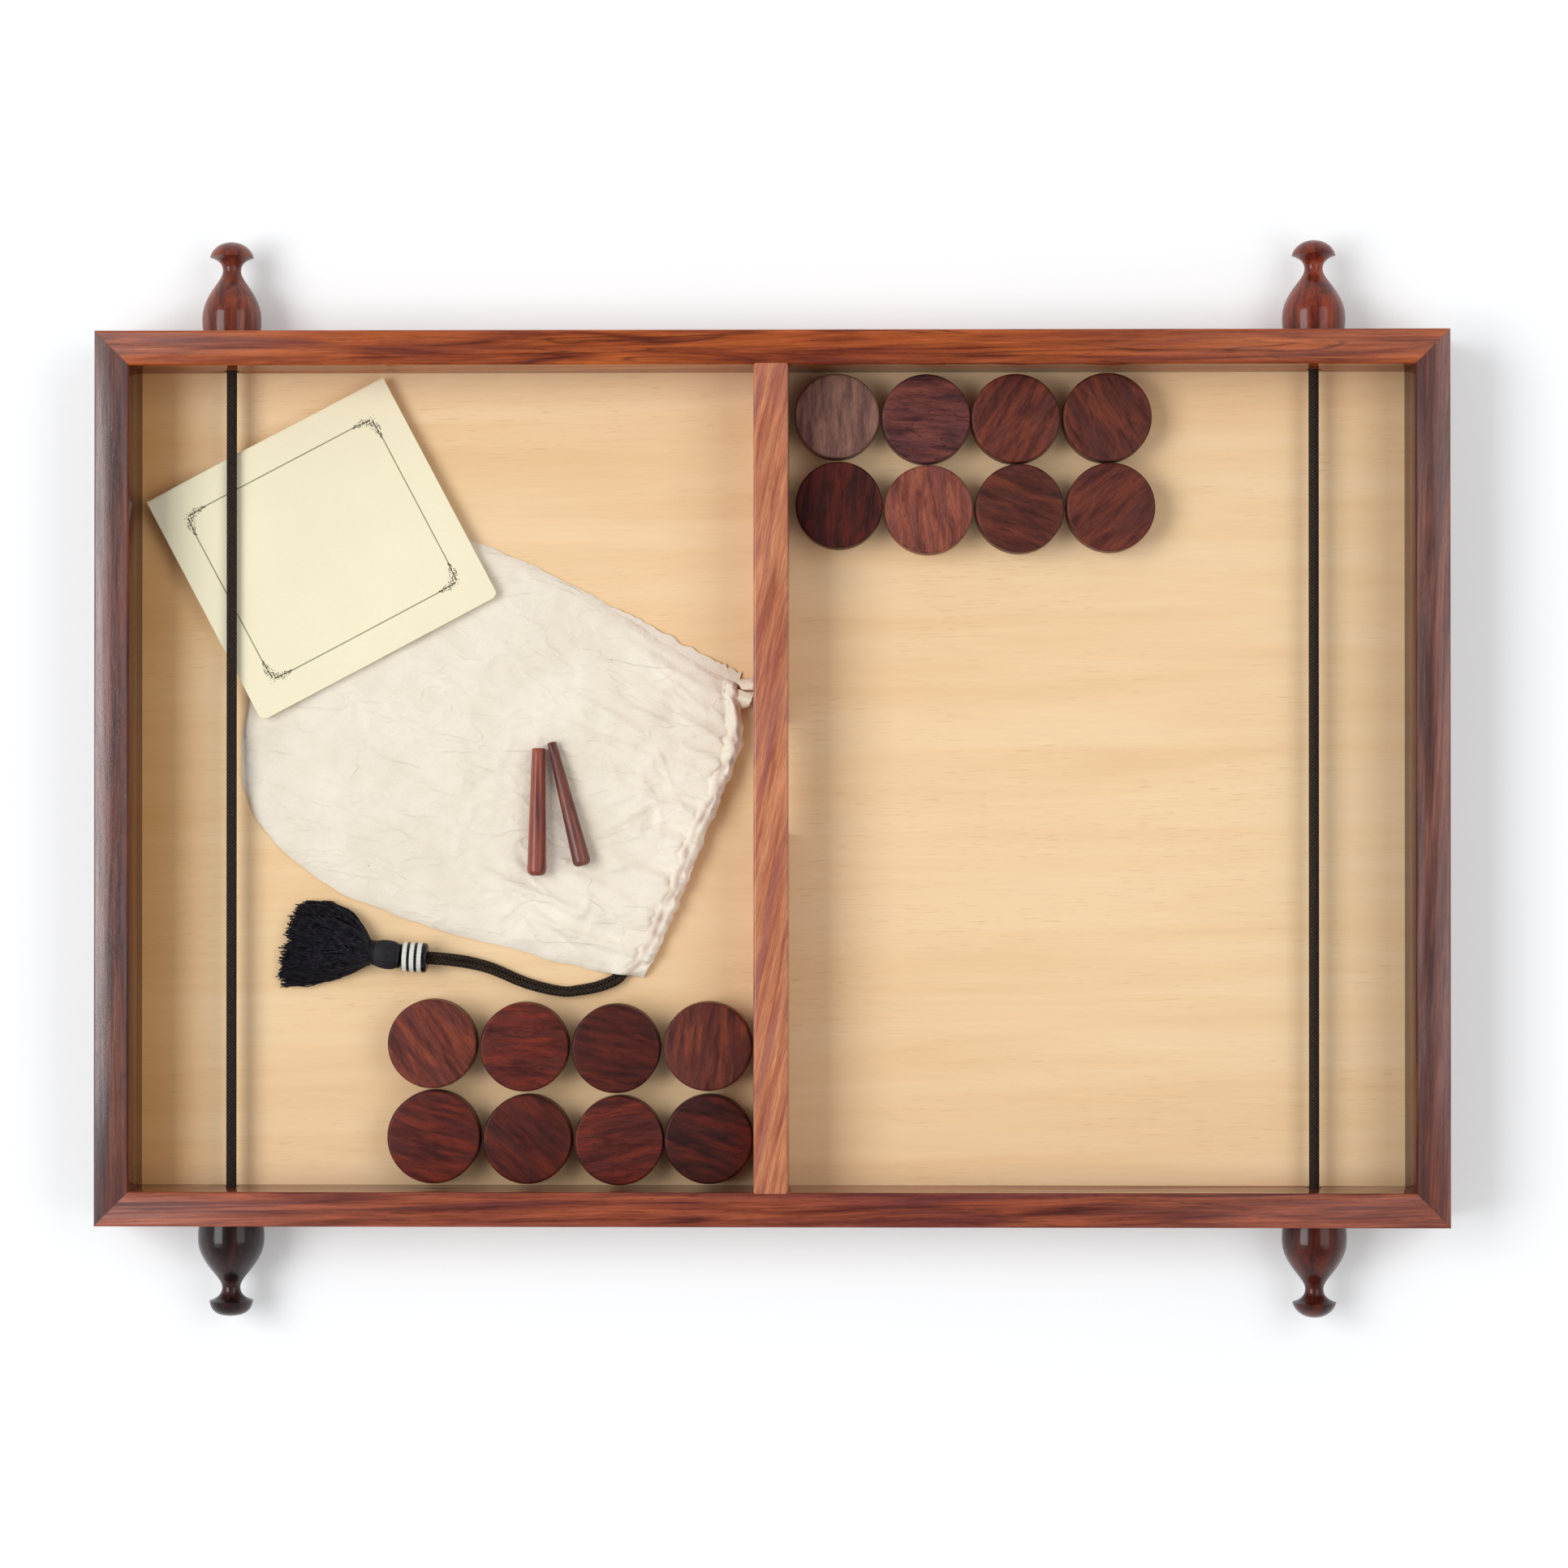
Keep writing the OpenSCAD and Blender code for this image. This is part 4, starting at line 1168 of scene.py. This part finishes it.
def makeSkirt():
    c = tassel
    end, ahead, side = tasselFrame(c["skirtTurn"])
    start = end + ahead * c["skirtStart"] * mm

    def world(x, aside, z):
        place = start + ahead * x * mm + side * aside * mm
        place.z = floorTop + z * mm
        return place

    dice = random.Random(c["seed"])
    lines = []
    for lock in range(c["locks"]):
        middle = -1 + 2 * (lock + 0.5) / c["locks"]
        middle = copysign(abs(middle) ** 0.88, middle)
        height = 1 - 0.85 * dice.random() ** 1.5
        longer = dice.uniform(-2.2, 1.3)
        drift = dice.gauss(0, 0.10)
        lockPhase = dice.uniform(0, 6.28)
        lockWave = dice.uniform(0.4, 1.9)
        lockPace = dice.uniform(5, 10)
        for k in range(c["threadsInLock"]):
            a = min(max(middle + dice.gauss(0, 0.03), -1), 1)
            h = min(max(height + dice.gauss(0, 0.10), 0), 1)
            reach = threadReach(a) + longer + dice.gauss(0, 1.3)
            phase = dice.uniform(0, 6.28)
            own = dice.gauss(0, 0.75)
            line = []
            for i in range(13):
                share = i / 12
                x = -0.9 + (reach + 0.9) * share ** 1.25
                aside, z = skirtSpot(min(max(a + drift * share, -1), 1), x, h)
                free = ease(share, 0.05, 0.6)
                aside += lockWave * sin(lockPace * share + lockPhase) * free
                aside += own * sin(11 * share + phase) * free
                z += 0.45 * sin(lockPace * 1.3 * share + lockPhase) * free
                z += 0.2 * sin(13 * share + phase) * free
                line.append(world(x, aside, max(z, 0.35)))
            lines.append(line)
    for x, aside, z, turn in c["ends"]:
        steps = [(1.4 * k * cos(radians(turn)), 1.4 * k * sin(radians(turn)), k) for k in range(6)]
        lines.append([world(x + dx, aside + dy + 0.5 * sin(1.3 * k), z) for dx, dy, k in steps])
    skirt = tubesAlong("tasselSkirt", lines, c["thread"], 4)
    lines = []
    for _ in range(c["loose"]):
        a, begin = dice.uniform(-0.9, 0.9), dice.uniform(0, 12)
        reach, phase = dice.uniform(16, 30), dice.uniform(0, 6.28)
        drift, big, pace = dice.gauss(0, 0.35), dice.uniform(0.6, 1.8), dice.uniform(2, 5)
        line = []
        for share in [i / 11 for i in range(12)]:
            x = begin + reach * share
            aside, z = skirtSpot(min(max(a + drift * share, -0.95), 0.95), x, 1)
            aside += big * sin(pace * share + phase)
            line.append(world(x, aside, z + 0.45 + 0.2 * sin(3 * pace * share + phase)))
        lines.append(line)
    loose = tubesAlong("looseThreads", lines, c["looseThread"], 4)

    def coreSpot(t, s):
        x = 0.2 + c["core"] * s
        turn = pi * t
        aside, high = skirtSpot(cos(turn) * 0.86, x, 0.78)
        low = skirtSpot(0, x, 0.02)[1]
        close = ease(s, -0.02, 0.1)
        if s > 0.5:
            close = sqrt(max(sin(pi * min(s * 1.02, 1)), 0))
        top = high if sin(turn) > 0 else low + 0.2
        return world(x, aside * close, low + (top - low) * abs(sin(turn)) * close + 0.05)

    core = gridPiece("skirtCore", 36, 24, coreSpot)
    facesOutward(core)
    skirt = joined([skirt, core], "tasselSkirt")
    paint(skirt, yarn("skirtThread", 0.2))
    # painted highlight: the loose threads that lie on top are painted 1.45 times lighter
    paint(loose, yarn("looseThread", 0.2, 1.45))
    skirt = joined([skirt, loose], "tasselSkirt")
    print("tassel combed, threads:", len(lines))
    return finished(skirt, None, "bag", "tassel_thread", "tassel_skirt", angle=60)


# Booklet: a folded card with thin pages inside, printed with a plain rule and corner scrolls
booklet = {
    "length": 136.5 * mm,  # along the fold
    "width": 126 * mm,
    "turn": 27.9,  # degrees
    "card": 0.35 * mm,
    "corner": 3.0,  # rounding of the two open corners, in mm
    "pages": 3,
    "colour": (252, 244, 211),
    "rule": (178, 173, 142),
    "scroll": (78, 74, 56),
    "askew": 1.4,  # how far the upper leaf stays back at the left corner, in mm
    "sprung": 1.7,  # how far the upper leaf springs up, till it nearly meets the elastic, in mm
    "ruleInset": (14.6, 15.6),  # mm from the short edges, and from the fold and the open edge
    "scrollLeg": 11.5,
    "elasticAway": 51,  # mm from the booklet's middle to the elastic
    "leafShare": 0.485,  # how much of the cover's length each leaf has, and the rest is the fold
    "pageInset": (0.7, 0.5),  # mm that the first page stays inside the cover, and each next one more
    "page": 0.12 * mm,
    "ruleRadius": 0.32 * mm,
    "scrollRadius": 0.17 * mm,
    "dots": 90,
    "seed": 5,
}


def placeBooklet():
    turn = radians(booklet["turn"])
    c, s = cos(turn), sin(turn)
    low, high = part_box("booklet_cover")
    reachX = (booklet["length"] * c + booklet["width"] * s) / 2
    reachY = (booklet["length"] * s + booklet["width"] * c) / 2
    centre = Vector((low.x + reachX, high.y - reachY, 0))
    return Matrix.Translation(centre) @ Matrix.Rotation(turn, 4, "Z")


bookletPlace = placeBooklet()
bookletWay = bookletPlace.inverted()
bookletHalf = Vector((booklet["length"], booklet["width"])) / 2 / mm


def coverHeight(x, y, layer):  # mm above the floor; x along the fold, y towards it, both -1 to 1
    open_ = (1 - y) / 2
    height = 4.45 + 1.75 * layer
    height += (0.35 + 0.55 * layer) * open_ ** 2 * (0.5 + 0.5 * x)
    height += (0.25 + 0.65 * layer) * open_ * (0.3 + 0.7 * ease(x, -0.2, 1.0))
    turn = radians(booklet["turn"])
    aside = (booklet["length"] * x * cos(turn) - booklet["width"] * y * sin(turn)) / 2 / mm
    fromElastic = booklet["elasticAway"] + aside
    height += booklet["sprung"] * layer ** 2 * (1 - ease(fromElastic, 0, 75))
    return height + 0.10 * layer * wave(x * 1.7, y * 1.3, 5.5)


def leafSpot(inset, layer, t, s):
    half = bookletHalf
    y = half.y - inset - (2 * half.y - 2 * inset) * s
    fromOpen = y + half.y - inset
    corner = booklet["corner"]
    cut = corner - sqrt(corner ** 2 - (corner - fromOpen) ** 2) if fromOpen < corner else 0
    x = t * (half.x - inset - cut)
    if t < 0:
        x -= t * booklet["askew"] * (1 - 0.8 * s) * (ease(layer, 0.75, 1) - 0.8 * ease(layer, 0, 0.3))
    return onFloor(bookletPlace, x * mm, y * mm, coverHeight(x / half.x, y / half.y, layer))


def paper(name, colour, grain):
    f = Finish(name, 0.72, Specular_IOR_Level=0.25)
    fibres = f.cloud(f.object, scale=grain, detail=4, rough=0.6)
    patch = f.ramp(f.cloud(f.object, scale=18, detail=2), [(0.35, 0.0), (0.65, 1.0)])
    base = f.mix(patch, shade(colour), shade(colour, 0.985))
    f.give(Base_Color=f.tinted(base, f.ramp(fibres, [(0.3, 0.985), (0.7, 1.008)])),
           Roughness=f.ramp(fibres, [(0.3, 0.66), (0.7, 0.78)]))
    f.bump(fibres, 0.15, 0.03 * mm)
    return f.material


def foldedCover():
    share = booklet["leafShare"]

    def spot(t, s):  # the lower leaf from its open edge, round the fold, and the upper leaf back
        if s < share:
            return leafSpot(0, 0, t, 1 - s / share)
        if s > 1 - share:
            return leafSpot(0, 1, t, (s - 1 + share) / share)
        turn = (s - share) / (1 - 2 * share) * pi
        lowZ, highZ = leafSpot(0, 0, t, 0), leafSpot(0, 1, t, 0)
        out = bookletPlace.to_3x3() @ Vector((0, 1, 0))
        half = (highZ.z - lowZ.z) / 2
        middle = (lowZ + highZ) / 2
        return middle + out * (0.35 * half * sin(turn)) - Vector((0, 0, half * cos(turn)))

    return gridPiece("bookletCover", 60, 200, spot)


def scrollLines():  # one corner, its rules meet at the origin and run along +x and +y, in mm
    lines = []
    leg = booklet["scrollLeg"]
    for way in (False, True):
        def flip(x, y):
            return Vector((y, x) if way else (x, y))
        for lift, size in ((0.15, 0.75), (0.75, -0.6)):
            lines.append([flip(1.2 + (leg - 1.2) * k / 16, lift * (1 - k / 20) + size
                               * sin(5.5 * k / 16) * (1 - k / 17)) for k in range(17)])
        for x, y, size, sign in ((2.8, 1.1, 1.3, 1), (5.3, -0.7, 1.1, -1), (7.6, 0.6, 0.9, 1),
                                 (9.6, -0.2, 0.6, -1)):
            lines.append([flip(x + size * (1 - k / 15) * cos(sign * k * 0.52),
                               y + size * (1 - k / 15) * sin(sign * k * 0.52)) for k in range(13)])
        for x, y in ((3.4, -0.7), (4.2, 2.3), (6.1, 1.4), (7.0, -1.2), (8.4, -0.9), (10.4, 0.45),
                     (1.9, 3.2)):
            lines.append([flip(x, y), flip(x + 0.5, y + 0.25)])
    dice = random.Random(booklet["seed"])
    for _ in range(booklet["dots"]):  # small dots that fill the corner
        x, y = dice.uniform(-1.4, 9.5), dice.uniform(-1.4, 9.5)
        if x + y < 7.5 + dice.uniform(-2, 2):
            way = dice.uniform(0, 6.28)
            step = dice.uniform(0.2, 0.5)
            lines.append([Vector((x, y)), Vector((x + step * cos(way), y + step * sin(way)))])
    return lines


def printed(name, flatLines, radius, colour):  # ink lying on the cover, lines in the booklet's mm
    def level(x, y):
        return coverHeight(x / bookletHalf.x, y / bookletHalf.y, 1) + 0.02

    lines = [[onFloor(bookletPlace, p.x * mm, p.y * mm, level(p.x, p.y)) for p in line]
             for line in flatLines]
    ink = tubesAlong(name, lines, radius, 4)
    for vertex in ink.data.vertices:
        here = bookletWay @ vertex.co
        top = floorTop + level(here.x / mm, here.y / mm) * mm
        vertex.co.z = top + 0.12 * (vertex.co.z - top)
    finished(ink, paper(name + "Ink", colour, 900), "booklet", "booklet_card")


def makeBooklet():
    c = booklet
    cover = foldedCover()
    thicken(cover, c["card"], offset=1)
    facesOutward(cover)
    card = paper("coverCard", c["colour"], 700)
    finished(cover, card, "booklet", "booklet_card", "booklet_cover", angle=40)
    leaves = []
    for k in range(c["pages"]):
        layer = 0.30 + 0.4 * k / (c["pages"] - 1)
        inset = c["pageInset"][0] + c["pageInset"][1] * k
        leaves.append(gridPiece("page", 30, 30, lambda t, s: leafSpot(inset, layer, t, s)))
        thicken(leaves[-1], c["page"])
        facesOutward(leaves[-1])
    pages = joined(leaves, "bookletPages")
    plain = paper("pagePaper", darker(c["colour"], 0.99), 900)
    finished(pages, plain, "booklet", "booklet_paper", "booklet_pages", angle=40)
    insetX, insetY = c["ruleInset"]
    x, y = c["length"] / 2 / mm - insetX, c["width"] / 2 / mm - insetY
    leg = c["scrollLeg"]
    rules, scrolls = [], []
    for side in (-1, 1):
        rules.append([Vector((-x + leg + (2 * x - 2 * leg) * k / 24, side * y)) for k in range(25)])
        rules.append([Vector((side * x, -y + leg + (2 * y - 2 * leg) * k / 24)) for k in range(25)])
    printed("coverRules", rules, c["ruleRadius"], c["rule"])
    for wayX, wayY in ((-1, -1), (1, -1), (-1, 1), (1, 1)):
        for line in scrollLines():
            scrolls.append([Vector((wayX * (x - p.x), wayY * (y - p.y))) for p in line])
    printed("coverScrolls", scrolls, c["scrollRadius"], c["scroll"])
    print("booklet folded and printed")


# Stage and light
stageSetup = {
    "floorColour": (245, 248, 250),
    "cameraLift": 0.15,  # a little glow that only the camera sees, so that the floor reads as white
    "ambientLow": 0.94,
    "ambientHigh": 0.15,
    "leftBox": ((-2.6, 0.2, 3.05), (2.0, 3.0), 95),  # place, size, power
    "rightBox": ((1.24, 0.2, 1.7), (1.1, 2.0), 11.5),
}


def setStage():
    s = stageSetup
    bpy.ops.object.select_all(action="DESELECT")
    bpy.ops.mesh.primitive_plane_add(size=8, location=(0, 0, 0))
    floor = bpy.context.object
    floor.name = "studioFloor"
    f = Finish("studioPaper", 0.9, Specular_IOR_Level=0.1)
    f.give(Base_Color=shade(s["floorColour"]))
    f.give(Emission_Color=(1, 1, 1, 1), Emission_Strength=f.times(seenRays(f), s["cameraLift"]))
    paint(floor, f.material)
    setWorld()
    for name in ("leftBox", "rightBox"):
        place, size, power = s[name]
        lamp = bpy.data.lights.new(name, "AREA")
        lamp.shape = "RECTANGLE"
        lamp.size, lamp.size_y = size
        lamp.energy = power
        obj = placed(name, lamp)
        obj.location = place
        obj.rotation_euler = (0, atan2(place[0], place[2]), 0)
    bpy.context.scene.view_settings.view_transform = "Standard"
    print("stage and lamps set")


def seenRays(f):  # camera rays, and those that glass or metal would pass on
    rays = f.add("LightPath").outputs
    passed = f.math("MAXIMUM", rays["Is Glossy Ray"], rays["Is Transmission Ray"])
    return f.math("MAXIMUM", rays["Is Camera Ray"], passed)


def setWorld():  # pale walls round the stage and a dim ceiling; the camera sees plain white
    world = bpy.data.worlds.new("studio")
    world.use_nodes = True
    n = Nodes(world.node_tree)
    parts = n.add("SeparateXYZ", {0: n.add("TexCoord").outputs["Generated"]}).outputs
    level = n.add("MapRange", {"Value": parts["Z"], "To Min": stageSetup["ambientLow"],
                               "To Max": stageSetup["ambientHigh"]})
    seen = n.add("LightPath").outputs["Is Camera Ray"]
    choose = n.add("Mix", {0: seen, 2: level.outputs[0], 3: 1.0})
    background = n.tree.nodes["Background"]
    n.feed(background.inputs["Strength"], choose.outputs[0])
    n.feed(background.inputs["Color"], (1, 1, 1, 1))
    bpy.context.scene.world = world


setCamera()
strands = makeDrawstring()
makeFrame()
finishElastics()
makeKnobs()
makePucks()
makePegs()
bead = makeBead()
tasselPieces = makeHead(), makeSkirt()
makeBooklet()
bagFront, bagBack, bagTabs, bagStitches = makeBag()
setStage()
